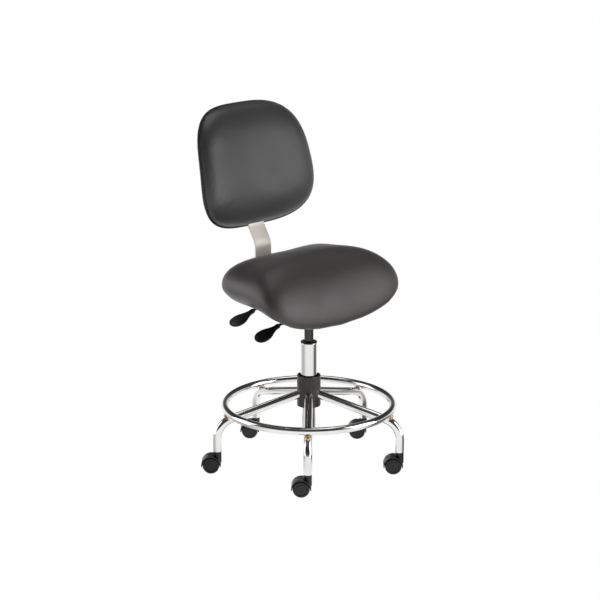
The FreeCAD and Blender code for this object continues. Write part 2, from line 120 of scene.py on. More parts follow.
def lathe(name, profile, place=None, segments=64):
    """Spins (radius, height) points round +Z into a closed shell, then puts it in its place."""
    points = []
    for radius, height in profile:
        for i in range(segments):
            angle = 2 * math.pi * i / segments
            points.append(Vector((radius * math.cos(angle), radius * math.sin(angle), height)))
    if place is not None:
        points = [place @ p for p in points]
    return face_outwards(new_piece(name, points, ring_faces(len(profile), segments)), fill=True)


def rounded_profile(corners, radius, steps=4):
    """(radius, height) corners with each inner corner rounded by an arc."""
    points = [Vector(corners[0])]
    for before, corner, after in zip(corners, corners[1:], corners[2:]):
        corner = Vector(corner)
        came, goes = (corner - Vector(before)), (Vector(after) - corner)
        reach = min(radius, came.length * 0.45, goes.length * 0.45)
        start, end = corner - came.normalized() * reach, corner + goes.normalized() * reach
        for step in range(steps + 1):
            t = step / steps
            points.append(start.lerp(corner, t).lerp(corner.lerp(end, t), t))
    points.append(Vector(corners[-1]))
    return points


def smooth_by_angle(piece, degrees):
    """Smooth shading that keeps edges sharper than the angle."""
    shade_smooth(piece.data)
    piece.data.set_sharp_from_angle(angle=math.radians(degrees))
    return piece


def bevelled_copy(node, name, width, segments=2):
    """The CAD node's shape with its doubles merged, flat faces joined and edges rounded."""
    piece = in_scene(name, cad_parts[node].data.copy())
    piece.data.materials.clear()
    with reshaping(piece) as shape:
        bmesh.ops.remove_doubles(shape, verts=shape.verts, dist=2 * SAME_POINT)
        bmesh.ops.dissolve_limit(shape, angle_limit=math.radians(1.0), verts=shape.verts,
                                 edges=shape.edges)
        bmesh.ops.dissolve_degenerate(shape, edges=shape.edges, dist=SAME_POINT)
    for attribute in [a for a in piece.data.attributes if a.name == "custom_normal"]:
        piece.data.attributes.remove(attribute)
    bevel = piece.modifiers.new("rounded edges", "BEVEL")
    bevel.width = width
    bevel.segments = segments
    bevel.limit_method = "ANGLE"
    bevel.angle_limit = math.radians(32)
    bevel.miter_outer = "MITER_ARC"
    bevel.use_clamp_overlap = True
    normals = piece.modifiers.new("flat faces stay flat", "WEIGHTED_NORMAL")
    normals.keep_sharp = True
    shade_smooth(piece.data)
    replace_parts(piece, node)
    return piece


def swept(name, path, section, closed=False):
    """Sweeps a closed section along a path; each path entry is (centre, across, up)."""
    around, points = len(section), []
    for centre, across, up in path:
        points += [centre + across * x + up * y for x, y in section]
    faces = ring_faces(len(path), around, closed)
    if not closed:
        faces.append(tuple(range(around - 1, -1, -1)))
        faces.append(tuple(range((len(path) - 1) * around, len(path) * around)))
    return face_outwards(new_piece(name, points, faces))


def circle_section(radius, count):
    return [(radius * math.cos(2 * math.pi * i / count), radius * math.sin(2 * math.pi * i / count))
            for i in range(count)]


def rounded_rectangle(width, height, corner, steps):
    section = []
    for quarter in range(4):
        x = (width / 2 - corner) * (1 if quarter in (0, 3) else -1)
        y = (height / 2 - corner) * (1 if quarter in (0, 1) else -1)
        for step in range(steps + 1):
            angle = math.pi / 2 * (quarter + step / steps)
            section.append((x + corner * math.cos(angle), y + corner * math.sin(angle)))
    return section


def rounded_route(corners, radii, steps):
    """Points along straight runs joined by tangent arcs, with the heading at each."""
    route, start = [], corners[0]
    for corner, after, radius in zip(corners[1:-1], corners[2:], radii):
        came, goes = (corner - start).normalized(), (after - corner).normalized()
        turn = came.angle(goes)
        back_off = radius * math.tan(turn / 2)
        centre = corner + (goes - came).normalized() * (radius / math.cos(turn / 2))
        spoke, axis = (corner - came * back_off) - centre, came.cross(goes).normalized()
        route.append((start, came))
        for step in range(steps + 1):
            spin = Matrix.Rotation(turn * step / steps, 3, axis)
            route.append((centre + spin @ spoke, spin @ came))
        start = corner + goes * back_off
    route.append((corners[-1], (corners[-1] - start).normalized()))
    return [entry for i, entry in enumerate(route)
            if i == 0 or (entry[0] - route[i - 1][0]).length > 1e-7]


# ---- finishes ------------------------------------------------------------
def feed(tree, value, socket):
    """Gives a node's input another node's output, or a plain value; three numbers can be a colour."""
    if isinstance(value, bpy.types.NodeSocket):
        tree.links.new(value, socket)
    elif socket.type == "RGBA":
        socket.default_value = (*value, 1)
    else:
        socket.default_value = value


class Finish:
    """A material under construction, whose patterns follow the piece's own coordinates."""

    def __init__(self, name, color, roughness, metallic=0.0, **sockets):
        self.material = bpy.data.materials.new(name)
        self.material.use_nodes = True
        self.tree = self.material.node_tree
        self.surface = self.tree.nodes["Principled BSDF"].inputs
        values = {"Base Color": color, "Roughness": roughness, "Metallic": metallic, **sockets}
        for label, value in values.items():
            feed(self.tree, value, self.surface[label.replace("_", " ")])
        self.place = self.add("TexCoord").outputs["Object"]

    def add(self, kind, settings=None, **inputs):
        """Adds a shader node; settings are its properties, inputs are by name with _ for spaces."""
        node = self.tree.nodes.new("ShaderNode" + kind)
        for label, value in (settings or {}).items():
            setattr(node, label, value)
        for label, value in inputs.items():
            feed(self.tree, value, node.inputs[label.replace("_", " ")])
        return node

    def noise(self, scale, detail=3.0, rough=0.5, stretch=None):
        place = self.place
        if stretch:
            place = self.add("Mapping", Vector=place, Scale=stretch).outputs["Vector"]
        return self.add("TexNoise", Scale=scale, Detail=detail, Roughness=rough,
                        Vector=place).outputs["Fac"]

    def pebbles(self, scale, smooth=0.6):
        return self.add("TexVoronoi", {"feature": "SMOOTH_F1"}, Scale=scale, Smoothness=smooth,
                        Vector=self.place).outputs["Distance"]

    def edges(self):
        """How convex the surface is, over a half on an edge."""
        return self.add("NewGeometry").outputs["Pointiness"]

    def ranged(self, source, low, high, start=0.3, stop=0.7):
        return self.add("MapRange", From_Min=start, From_Max=stop, To_Min=low, To_Max=high,
                        Value=source).outputs["Result"]

    def blended(self, source, first, second, start=0.3, stop=0.7, most=1.0):
        """From the first colour to the second, or to most of it, as the source goes up."""
        node = self.add("Mix", {"data_type": "RGBA"}, Factor=self.ranged(source, 0.0, most, start, stop))
        feed(self.tree, first, node.inputs[6])
        feed(self.tree, second, node.inputs[7])
        return node.outputs[2]

    def paint(self, *blend, **ends):
        feed(self.tree, self.blended(*blend, **ends), self.surface["Base Color"])

    def gloss(self, *spread):
        feed(self.tree, self.ranged(*spread), self.surface["Roughness"])

    def bumps(self, *layers):
        """Chains bumps of (height output, strength, distance in metres) into the shader."""
        normal = None
        for height, strength, distance in layers:
            node = self.add("Bump", Strength=strength, Distance=distance, Height=height)
            if normal is not None:
                feed(self.tree, normal, node.inputs["Normal"])
            normal = node.outputs["Normal"]
        feed(self.tree, normal, self.surface["Normal"])
        return self.material


def shade(color, amount, more=0.0):
    return tuple(c * amount + more for c in color)


def vinyl(name, color, lighter, roughness):
    """Coated upholstery cloth: pressed pebble grain, faint creases and a soft sheen."""
    cloth = Finish(name, color, roughness, Specular_IOR_Level=0.5, Sheen_Weight=0.12,
                   Sheen_Roughness=0.4, Coat_Weight=0.06, Coat_Roughness=0.35)
    tone = cloth.blended(cloth.noise(5.0, 2.0), color, shade(color, lighter), 0.35, 0.65)
    grain, fine = cloth.pebbles(620.0), cloth.noise(1500.0, 2.0)
    cloth.paint(grain, tone, shade(color, 0.72), 0.35, 0.7, most=0.45)
    cloth.gloss(cloth.noise(9.0, 4.0), roughness - 0.05, roughness + 0.07)
    creases = cloth.noise(34.0, 3.0, 0.45, stretch=(1.0, 1.0, 0.6))
    pores = cloth.ranged(grain, 1.0, 0.0, 0.15, 0.6)
    return cloth.bumps((creases, 0.05, 0.0012), (pores, 0.16, 0.00022), (fine, 0.06, 0.00008))


def seat_vinyl():
    return vinyl("seat_vinyl", tuple(bpy.context.scene.chair_finish.seat_color), 1.16, 0.44)


def back_vinyl():
    return vinyl("back_vinyl", tuple(bpy.context.scene.chair_finish.back_color), 1.14, 0.42)


def piping_vinyl():
    cord = Finish("piping_vinyl", (0.006, 0.006, 0.006), 0.38)
    grain = cord.pebbles(900.0)
    cord.paint(grain, (0.009, 0.009, 0.009), (0.004, 0.004, 0.004), 0.2, 0.6)
    return cord.bumps((grain, 0.12, 0.00015))


def chrome():
    """Bright plate with handling smudges."""
    plating = Finish("chrome", (0.88, 0.885, 0.895), 0.06, 1.0)
    smudge = plating.noise(16.0, 5.0, 0.6)
    plating.gloss(smudge, 0.075, 0.13, 0.4, 0.75)
    plating.paint(smudge, (0.90, 0.895, 0.885), (0.80, 0.785, 0.77), 0.45, 0.8)
    return plating.material


def braze():
    """Brass filler with the brown and straw tints that the torch leaves."""
    filler = Finish("braze", (0.62, 0.38, 0.18), 0.34, 1.0)
    tint = filler.noise(120.0, 4.0, 0.6)
    filler.paint(tint, (0.72, 0.48, 0.24), (0.22, 0.11, 0.05), 0.35, 0.65)
    filler.gloss(tint, 0.25, 0.5)
    return filler.bumps((filler.noise(420.0), 0.4, 0.0004))


def nickel_strap():
    """Satin nickel with long brushing lines."""
    nickel = Finish("nickel_strap", (0.86, 0.81, 0.75), 0.44, 0.25)
    lines = nickel.noise(1.0, 3.0, 0.65, stretch=(900.0, 14.0, 14.0))
    tone = nickel.blended(lines, (0.80, 0.74, 0.68), (0.92, 0.87, 0.82))
    nickel.paint(nickel.noise(14.0), tone, (0.66, 0.60, 0.53), 0.45, 0.75, most=0.35)
    nickel.gloss(lines, 0.38, 0.52)
    return nickel.bumps((lines, 0.10, 0.00006))


def hub_black():
    """Dark brown-black moulded sleeve, satin and faintly streaked."""
    sleeve = Finish("hub_black", (0.032, 0.025, 0.024), 0.34)
    streaks = sleeve.noise(1.0, 4.0, 0.6, stretch=(60.0, 60.0, 7.0))
    sleeve.paint(streaks, (0.024, 0.019, 0.018), (0.052, 0.040, 0.037), 0.35, 0.7)
    sleeve.gloss(streaks, 0.28, 0.42)
    return sleeve.bumps((sleeve.noise(900.0, 2.0), 0.12, 0.00012))


def moulded(name, color, roughness, grain_scale):
    """Injection-moulded nylon: spark-eroded grain, with its convex edges painted lighter as a painted
    highlight.
    """
    nylon = Finish(name, color, roughness)
    cloud = nylon.noise(40.0)
    tone = nylon.blended(cloud, shade(color, 0.8), shade(color, 1.35))
    # painted highlight: the convex edges, found by pointiness, are painted lighter than the moulding
    nylon.paint(nylon.edges(), tone, shade(color, 2.5, 0.008), 0.53, 0.62)
    nylon.gloss(cloud, roughness - 0.05, roughness + 0.08)
    return nylon.bumps((nylon.noise(grain_scale, 2.0, 0.6), 0.22, 0.00012))


def moulded_black():
    return moulded("moulded_black", (0.005, 0.005, 0.005), 0.30, 1100.0)


# painted light: the black moulding made lighter grey, standing for the lit top of the tilt paddle
def grip_painted_lit_grey():
    return moulded("grip_painted_lit_grey", (0.035, 0.035, 0.037), 0.40, 1300.0)


def wheel_black():
    """Hard nylon wheels with a little floor dust."""
    nylon = Finish("wheel_black", (0.004, 0.004, 0.004), 0.30)
    dust = nylon.noise(55.0, 5.0, 0.65)
    nylon.paint(dust, (0.004, 0.004, 0.004), (0.022, 0.021, 0.019), 0.5, 0.8, most=0.35)
    nylon.gloss(dust, 0.24, 0.5, 0.35, 0.8)
    return nylon.bumps((nylon.noise(800.0, 2.0), 0.12, 0.0001))


def shell_plastic():
    """Textured back shell: an all-over leather-like moulding grain."""
    shell = Finish("shell_plastic", (0.030, 0.030, 0.031), 0.46)
    cloud = shell.noise(7.0)
    shell.paint(cloud, (0.027, 0.027, 0.028), (0.036, 0.036, 0.037))
    shell.gloss(cloud, 0.42, 0.53)
    return shell.bumps((shell.pebbles(480.0, 0.4), 0.3, 0.0003))


def lift_black():
    """Gloss black lacquer on the lift's tube, with faint draw marks along it."""
    lacquer = Finish("lift_black", (0.006, 0.006, 0.007), 0.16, Coat_Weight=0.5, Coat_Roughness=0.06)
    marks = lacquer.noise(1.0, stretch=(240.0, 240.0, 6.0))
    lacquer.gloss(marks, 0.12, 0.24)
    lacquer.paint(marks, (0.005, 0.005, 0.006), (0.012, 0.012, 0.012))
    return lacquer.bumps((marks, 0.04, 0.00005))


def dust_cloth():
    """Black non-woven cambric: matted short fibres."""
    cambric = Finish("dust_cloth", (0.014, 0.014, 0.015), 0.92)
    fibres = cambric.noise(1.0, 4.0, 0.7, stretch=(900.0, 260.0, 900.0))
    cambric.paint(fibres, (0.008, 0.008, 0.009), (0.03, 0.03, 0.031))
    return cambric.bumps((fibres, 0.4, 0.0003))


def steel_black():
    """Black powder coat on pressed steel: orange peel, and its convex edges painted lighter grey as a painted
    highlight.
    """
    coat = Finish("steel_black", (0.022, 0.022, 0.023), 0.4)
    # painted highlight: the convex edges, found by pointiness, are painted lighter grey
    coat.paint(coat.edges(), (0.022, 0.022, 0.023), (0.20, 0.19, 0.18), 0.56, 0.66)
    return coat.bumps((coat.noise(520.0, 2.0), 0.2, 0.0002))


def zinc_steel():
    zinc = Finish("zinc_steel", (0.58, 0.575, 0.55), 0.32, 1.0)
    bloom = zinc.noise(210.0, 4.0, 0.6)
    zinc.paint(bloom, (0.52, 0.51, 0.48), (0.68, 0.67, 0.64))
    zinc.gloss(bloom, 0.25, 0.42)
    return zinc.bumps((bloom, 0.08, 0.0001))


def plywood():
    """Birch board: fine straight figure on its faces and plies on its edge."""
    birch = Finish("plywood", (0.50, 0.36, 0.22), 0.62)
    figure = birch.noise(1.0, 5.0, 0.6, stretch=(14.0, 140.0, 140.0))
    plies = birch.add("TexWave", {"bands_direction": "Z"}, Scale=130.0, Distortion=0.6,
                      Vector=birch.place)
    tone = birch.blended(figure, (0.56, 0.42, 0.27), (0.40, 0.27, 0.15))
    birch.paint(plies.outputs["Fac"], tone, (0.26, 0.16, 0.09), 0.5, 0.9, most=0.4)
    return birch.bumps((figure, 0.15, 0.0002))


FINISH_MAKERS = {maker.__name__: maker for maker in (
    seat_vinyl, back_vinyl, piping_vinyl, chrome, braze, nickel_strap, hub_black, moulded_black,
    grip_painted_lit_grey, wheel_black, shell_plastic, lift_black, dust_cloth, steel_black, zinc_steel, plywood)}
FINISHES = {}


def finish_named(name):
    """Makes each finish once, from its own function."""
    if name not in FINISHES:
        FINISHES[name] = FINISH_MAKERS[name]()
    return FINISHES[name]


def dress(piece, finish, body):
    """Gives a piece its finish and the body it moves with."""
    piece.data.materials.clear()
    piece.data.materials.append(finish_named(finish))
    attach(piece, body)
    return piece


# ---- geometry-node helpers ---------------------------------------------------
class Tree:
    """A Geometry Nodes tree under construction, with short ways to add and join nodes."""

    def __init__(self, name, inputs):
        self.tree = bpy.data.node_groups.new(name, "GeometryNodeTree")
        face = self.tree.interface
        face.new_socket(name="Geometry", in_out="OUTPUT", socket_type="NodeSocketGeometry")
        self.identifiers = {}
        for label, kind in {"Geometry": "Geometry", **inputs, "Finish": "Material"}.items():
            socket = face.new_socket(name=label, in_out="INPUT", socket_type="NodeSocket" + kind)
            self.identifiers[label] = socket.identifier
        self.source = self.tree.nodes.new("NodeGroupInput")
        self.result = self.tree.nodes.new("NodeGroupOutput")

    def add(self, kind, settings=None, **links):
        """Adds a node and returns its first output; settings are its properties, and links
        are its inputs by name with _ for spaces, or inputs=(...) in their order from the first."""
        return self.node(kind, settings, **links).outputs[0]

    def node(self, kind, settings=None, inputs=(), **links):
        node = self.tree.nodes.new(kind)
        for key, value in (settings or {}).items():
            setattr(node, key, value)
        for number, value in enumerate(inputs):
            if value is not None:
                feed(self.tree, value, node.inputs[number])
        for key, value in links.items():
            feed(self.tree, value, node.inputs[key.replace("_", " ")])
        return node

    def math(self, operation, *values):
        return self.add("ShaderNodeMath", {"operation": operation}, inputs=values)

    def point(self, **parts):
        return self.add("ShaderNodeCombineXYZ", **parts)

    def pipe(self, line, sides, radius, **ends):
        """A round section of so many sides swept along a line."""
        section = self.add("GeometryNodeCurvePrimitiveCircle", Resolution=sides, Radius=radius)
        return self.add("GeometryNodeCurveToMesh", Curve=line, Profile_Curve=section, **ends)

    def given(self, label):
        return self.source.outputs[label]

    def end(self, geometry):
        """Realize Instances, Set Material, output."""
        real = self.add("GeometryNodeRealizeInstances", Geometry=geometry)
        painted = self.add("GeometryNodeSetMaterial", Geometry=real, Material=self.given("Finish"))
        smooth = self.add("GeometryNodeSetShadeSmooth", Geometry=painted)
        feed(self.tree, smooth, self.result.inputs["Geometry"])
        return self


def floats(*labels):
    return dict.fromkeys(labels, "Float")


def grown(name, tree, values, finish, body, points=((0, 0, 0),)):
    """Runs a tree on a bare set of points and keeps its result as a plain mesh piece."""
    seed = new_piece(name + "_seed", points, [], smooth=False)
    seed_mesh = seed.data
    modifier = seed.modifiers.new(tree.tree.name, "NODES")
    modifier.node_group = tree.tree
    modifier[tree.identifiers["Finish"]] = finish_named(finish)
    for label, value in values.items():
        modifier[tree.identifiers[label]] = value
    bpy.context.view_layer.update()
    mesh = finished_mesh(seed)
    mesh.name = name
    piece = in_scene(name, mesh)
    bpy.data.objects.remove(seed)
    bpy.data.meshes.remove(seed_mesh)
    face_outwards(piece)
    return dress(piece, finish, body)


# ---- driving dimensions ------------------------------------------------------
def length(name, value, about):
    return bpy.props.FloatProperty(name=name, description=about, default=value * MM, unit="LENGTH",
                                   precision=4)


def factor(name, value, about):
    return bpy.props.FloatProperty(name=name, description=about, default=value)


def turned(name, degrees, about):
    return bpy.props.FloatProperty(name=name, description=about, default=math.radians(degrees),
                                   subtype="ANGLE")


def colour(name, value, about):
    return bpy.props.FloatVectorProperty(name=name, description=about, default=value,
                                         subtype="COLOR", size=3)


class BaseSettings(bpy.types.PropertyGroup):
    """The five-leg base, its foot ring, hub, column and lift."""
    first_leg: turned("First Leg", -44.8, "Turn of the first leg from the front towards +X")
    leg_radius: length("Leg Radius", 12.7, "Outer radius of a leg tube")
    leg_start: length("Leg Start", 229.4, "Height of a leg's line at the column's axis")
    leg_slope: factor("Leg Slope", 0.2708, "Fall of a leg per unit of reach")
    leg_bend: length("Leg Bend", 60.5, "Radius of a leg's elbow")
    leg_end: length("Leg End", 66.0, "Height of a leg's open end")
    stem_reach: length("Stem Reach", 287.7, "From the column's axis to a castor stem")
    ring_reach: length("Ring Reach", 254.0, "Radius of the foot ring's middle line")
    ring_tube: length("Ring Tube", 11.6, "Radius of the foot ring's tube")
    ring_height: length("Ring Height", 185.8, "Height of the foot ring's middle line")
    hub_low: length("Hub Bottom", 184.0, "Height of the hub's lower end")
    hub_high: length("Hub Top", 280.0, "Height of the hub's upper end")
    hub_radius: length("Hub Radius", 35.7, "Outer radius of the hub sleeve")
    hub_wall: length("Hub Wall", 3.6, "Thickness of the hub sleeve")
    column_radius: length("Column Radius", 25.0, "Outer radius of the chrome column")
    column_top: length("Column Top", 382.0, "Height of the column's open end")
    column_foot: length("Column Foot", 104.0, "Height of the column's closed foot")
    foot_radius: length("Foot Radius", 20.5, "Radius of the column's reduced foot")
    foot_top: length("Foot Top", 200.0, "Height where the column's reduced foot ends")
    shoulder: length("Shoulder", 14.0, "Height of the slope from the foot to the column's full width")
    gas_radius: length("Lift Radius", 14.0, "Radius of the lift's tube")
    gas_low: length("Lift Bottom", 225.0, "Height of the lift tube's lower end")
    gas_taper: length("Lift Taper", 474.0, "Height where the lift's taper starts")
    gas_top: length("Lift Top", 508.0, "Height of the lift tube's upper end")
    gas_top_radius: length("Lift Top Radius", 12.9, "Radius of the lift tube at its upper end")
    gas_room: length("Lift Room", 80.0, "Space under the lift's tube for it to sink into")


class CastorSettings(bpy.types.PropertyGroup):
    """One twin-wheel castor."""
    trail_turn: turned("Trail Direction", 135.0, "Direction the castors trail, from +X towards +Y")
    trail: length("Trail", 19.0, "From the stem's axis to the axle")
    radius: length("Wheel Radius", 25.0, "Radius of a wheel's tread")
    inner: length("Inner Face", 2.8, "From the castor's middle to a wheel's inner face")
    outer: length("Outer Face", 21.4, "From the castor's middle to a wheel's outer face")


class SeatSettings(bpy.types.PropertyGroup):
    """The seat cushion, its board and the mechanism under it."""
    middle_y: length("Seat Middle", 17.0, "Centre of the seat behind the column's axis")
    middle_z: length("Seat Height", 530.6, "Height of the widest line at the centre")
    half_width: length("Half Width", 250.8, "Half of the seat's width at its middle")
    front: length("Front", 165.8, "From the seat's centre to its front edge")
    rear: length("Rear", 171.0, "From the seat's centre to its rear edge")
    square: factor("Squareness", 6.0, "Squareness of the outline")
    square_top: factor("Crown Squareness", 2.6, "Squareness of the outline near the crown")
    taper: factor("Taper", 0.137, "How much wider the front is")
    crown: length("Crown", 130.0, "Height of the crown over the widest line")
    crown_power: factor("Crown Fullness", 2.46, "How full the crown is")
    crown_power_rear: factor("Rear Crown Fullness", 2.0, "How full the crown is towards the rear")
    belly: length("Belly", 50.0, "Depth of the cushion under the widest line")
    side_sag: length("Side Sag", 1.2, "How far the sides' rim hangs below the board")
    front_drop: length("Front Drop", 17.6, "Fall of the widest line at 100 mm forward")
    rear_drop: length("Rear Drop", -3.5, "Fall of the widest line at 100 mm to the rear")
    side_rise: length("Side Rise", 6.6, "Rise of the widest line at 100 mm to a side")
    board_z: length("Board", 524.0, "Height of the seat board's underside")
    board_half_width: length("Board Half Width", 205.0, "Half of the board's width")
    board_half_depth: length("Board Half Depth", 128.0, "Half of the board's depth")


class BackSettings(bpy.types.PropertyGroup):
    """The backrest and the bar that carries it."""
    middle_y: length("Back Middle", 255.4, "Centre of the back behind the column's axis")
    middle_z: length("Back Height", 892.1, "Height of the back's centre")
    tilt: turned("Back Tilt", 12.43, "Lean of the back from upright")
    half_width: length("Half Width", 222.9, "Half of the back's width at its middle")
    half_height: length("Half Height", 185.8, "Half of the back's height")
    square: factor("Squareness", 3.26, "Squareness of the outline")
    taper: factor("Taper", -0.08, "How much wider the top is")
    hollow: length("Hollow", 5.92, "How far the seam comes forward at 100 mm to a side")
    lumbar: length("Lumbar", 6.27, "How far the seam goes back at 100 mm up or down")
    cushion: length("Cushion", 46.9, "Depth of the cushion in front of the seam")
    shell: length("Shell", 29.8, "Depth of the shell behind the seam")
    piping: length("Piping", 3.2, "How far the piping stands out round the seam")
    bar_width: length("Bar Width", 63.5, "Width of the strap")
    bar_thick: length("Bar Thickness", 6.35, "Thickness of the strap")
    bar_z: length("Bar Height", 500.5, "Height of the strap's level run")
    bar_start: length("Bar Start", 78.0, "Where the strap's level run starts, behind the column")
    bar_y: length("Bar Reach", 200.0, "How far behind the column the strap's upright run is")
    bar_kink: length("Bar Kink", 655.0, "Height of the strap's kink")
    bar_offset: length("Bar Offset", -18.0, "Middle of the strap from the back's seam")


class FinishSettings(bpy.types.PropertyGroup):
    """Colours of the upholstery."""
    seat_color: colour("Seat Colour", (0.049, 0.041, 0.041), "Colour of the seat's vinyl")
    back_color: colour("Back Colour", (0.038, 0.038, 0.038), "Colour of the back's vinyl")


def base_size():
    return bpy.context.scene.chair_base


def castor_size():
    return bpy.context.scene.chair_castor


def seat_size():
    return bpy.context.scene.chair_seat


def back_size():
    return bpy.context.scene.chair_back


def leg_direction(index):
    angle = base_size().first_leg + index * 2 * math.pi / LEG_COUNT
    return Vector((math.sin(angle), -math.cos(angle), 0))


def eased(t):
    """A smooth step from 0 to 1."""
    t = min(1.0, max(0.0, t))
    return t * t * (3 - 2 * t)


def superellipse(angle, power):
    """Point on the unit superellipse at this turn."""
    c, s = math.cos(angle), math.sin(angle)
    return (math.copysign(abs(c) ** (2 / power), c), math.copysign(abs(s) ** (2 / power), s))


# ---- base pieces -----------------------------------------------------------
def leg_tree():
    """Legs: a sloping run and a drop, filleted at the elbow, swept, then set round the hub."""
    tree = Tree("Bent Tube Legs", {**floats("Inner Reach", "Inner Height", "Stem Reach", "Elbow Height",
                                            "End Height", "Bend Radius", "Tube Radius", "First Angle"),
                                   "Count": "Int"})
    start = tree.point(X=tree.given("Inner Reach"), Z=tree.given("Inner Height"))
    elbow = tree.point(X=tree.given("Stem Reach"), Z=tree.given("Elbow Height"))
    end = tree.point(X=tree.given("Stem Reach"), Z=tree.given("End Height"))
    line = tree.add("GeometryNodeCurvePrimitiveLine", Start=start, End=end)
    three = tree.add("GeometryNodeResampleCurve", Curve=line, Count=3)
    index = tree.add("GeometryNodeInputIndex")
    middle = tree.add("FunctionNodeCompare", {"data_type": "INT", "operation": "EQUAL"},
                      inputs=(None, None, index, 1))
    bent = tree.add("GeometryNodeSetPosition", Geometry=three, Selection=middle, Position=elbow)
    fillet = tree.add("GeometryNodeFilletCurve", {"mode": "POLY"}, Curve=bent, Count=24,
                      Radius=tree.given("Bend Radius"))
    tube = tree.pipe(fillet, 48, tree.given("Tube Radius"), Fill_Caps=True)
    share = tree.math("DIVIDE", 2 * math.pi, tree.given("Count"))
    turn = tree.math("MULTIPLY_ADD", index, share, tree.given("First Angle"))
    starts = tree.add("GeometryNodePoints", Count=tree.given("Count"))
    return tree.end(tree.add("GeometryNodeInstanceOnPoints", Points=starts, Instance=tube,
                             Rotation=tree.point(Z=turn)))


class CHAIR_OT_legs(bpy.types.Operator):
    """Bends the five chromed leg tubes down from the hub to their castor stems"""
    bl_idname = "chair.legs"
    bl_label = "Bend the Legs"

    def execute(self, context):
        size = base_size()
        inner = size.hub_radius - size.hub_wall
        values = {"Inner Reach": inner, "Inner Height": size.leg_start - size.leg_slope * inner,
                  "Stem Reach": size.stem_reach,
                  "Elbow Height": size.leg_start - size.leg_slope * size.stem_reach,
                  "End Height": size.leg_end, "Bend Radius": size.leg_bend, "Tube Radius": size.leg_radius,
                  "First Angle": size.first_leg - math.pi / 2, "Count": LEG_COUNT}
        legs = grown("legs", leg_tree(), values, "chrome", "base")
        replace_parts(legs, *["leg_%d" % (i + 1) for i in range(LEG_COUNT)])
        return {"FINISHED"}


def ring_tree():
    """Foot ring: a round section swept round a circle."""
    tree = Tree("Foot Ring", floats("Ring Radius", "Tube Radius", "Height"))
    loop = tree.add("GeometryNodeCurvePrimitiveCircle", Resolution=220, Radius=tree.given("Ring Radius"))
    ring = tree.pipe(loop, 44, tree.given("Tube Radius"))
    return tree.end(tree.add("GeometryNodeSetPosition", Geometry=ring,
                             Offset=tree.point(Z=tree.given("Height"))))


def braze_tree():
    """Brazes: flattened lumpy beads set at each point."""
    tree = Tree("Braze Beads", floats("Bead Radius", "Lumps", "Seed"))
    bead = tree.add("GeometryNodeMeshIcoSphere", Subdivisions=5, Radius=tree.given("Bead Radius"))
    placed = tree.add("GeometryNodeInstanceOnPoints", Points=tree.given("Geometry"), Instance=bead,
                      Scale=(1.0, 1.0, 0.62))
    real = tree.add("GeometryNodeRealizeInstances", Geometry=placed)
    noise = tree.add("ShaderNodeTexNoise", {"noise_dimensions": "4D"}, Scale=150.0, W=tree.given("Seed"))
    push = tree.add("ShaderNodeVectorMath", {"operation": "SCALE"},
                    inputs=(tree.add("GeometryNodeInputNormal"),),
                    Scale=tree.math("MULTIPLY", noise, tree.given("Lumps")))
    return tree.end(tree.add("GeometryNodeSetPosition", Geometry=real, Offset=push))


class CHAIR_OT_foot_ring(bpy.types.Operator):
    """Sweeps the chromed foot ring and lays a brazed bead where it crosses each leg"""
    bl_idname = "chair.foot_ring"
    bl_label = "Sweep the Foot Ring"

    def execute(self, context):
        size = base_size()
        values = {"Ring Radius": size.ring_reach, "Tube Radius": size.ring_tube,
                  "Height": size.ring_height}
        ring = grown("foot_ring_tube", ring_tree(), values, "chrome", "base")
        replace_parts(ring, "foot_ring")
        low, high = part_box("ring_brazes")
        level = Vector((0, 0, (low.z + high.z) / 2 - 1 * MM))
        spots = [leg_direction(i) * (size.ring_reach + 2 * MM) + level for i in range(LEG_COUNT)]
        values = {"Bead Radius": 9.5 * MM, "Lumps": 2.2 * MM, "Seed": 3.0}
        beads = grown("ring_braze_beads", braze_tree(), values, "braze", "base", points=spots)
        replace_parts(beads, "ring_brazes")
        return {"FINISHED"}


class CHAIR_OT_hub(bpy.types.Operator):
    """Turns the hub's black sleeve, open round the column at its top"""
    bl_idname = "chair.hub"
    bl_label = "Turn the Hub"

    def execute(self, context):
        size = base_size()
        inner = size.hub_radius - size.hub_wall
        deep = size.hub_high - 9 * MM
        bore, foot_bore = size.column_radius - 2 * MM, size.foot_radius - 2 * MM
        corners = [(foot_bore, size.hub_low), (size.hub_radius, size.hub_low),
                   (size.hub_radius, size.hub_high), (inner, size.hub_high), (inner, deep), (bore, deep),
                   (bore, size.foot_top + size.shoulder + 4 * MM), (foot_bore, size.foot_top - 2 * MM),
                   (foot_bore, size.hub_low)]
        hub = lathe("hub_sleeve", rounded_profile(corners, 1.3 * MM), segments=96)
        dress(smooth_by_angle(hub, 40), "hub_black", "base")
        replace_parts(hub, "hub_cover", "hub_core")
        return {"FINISHED"}


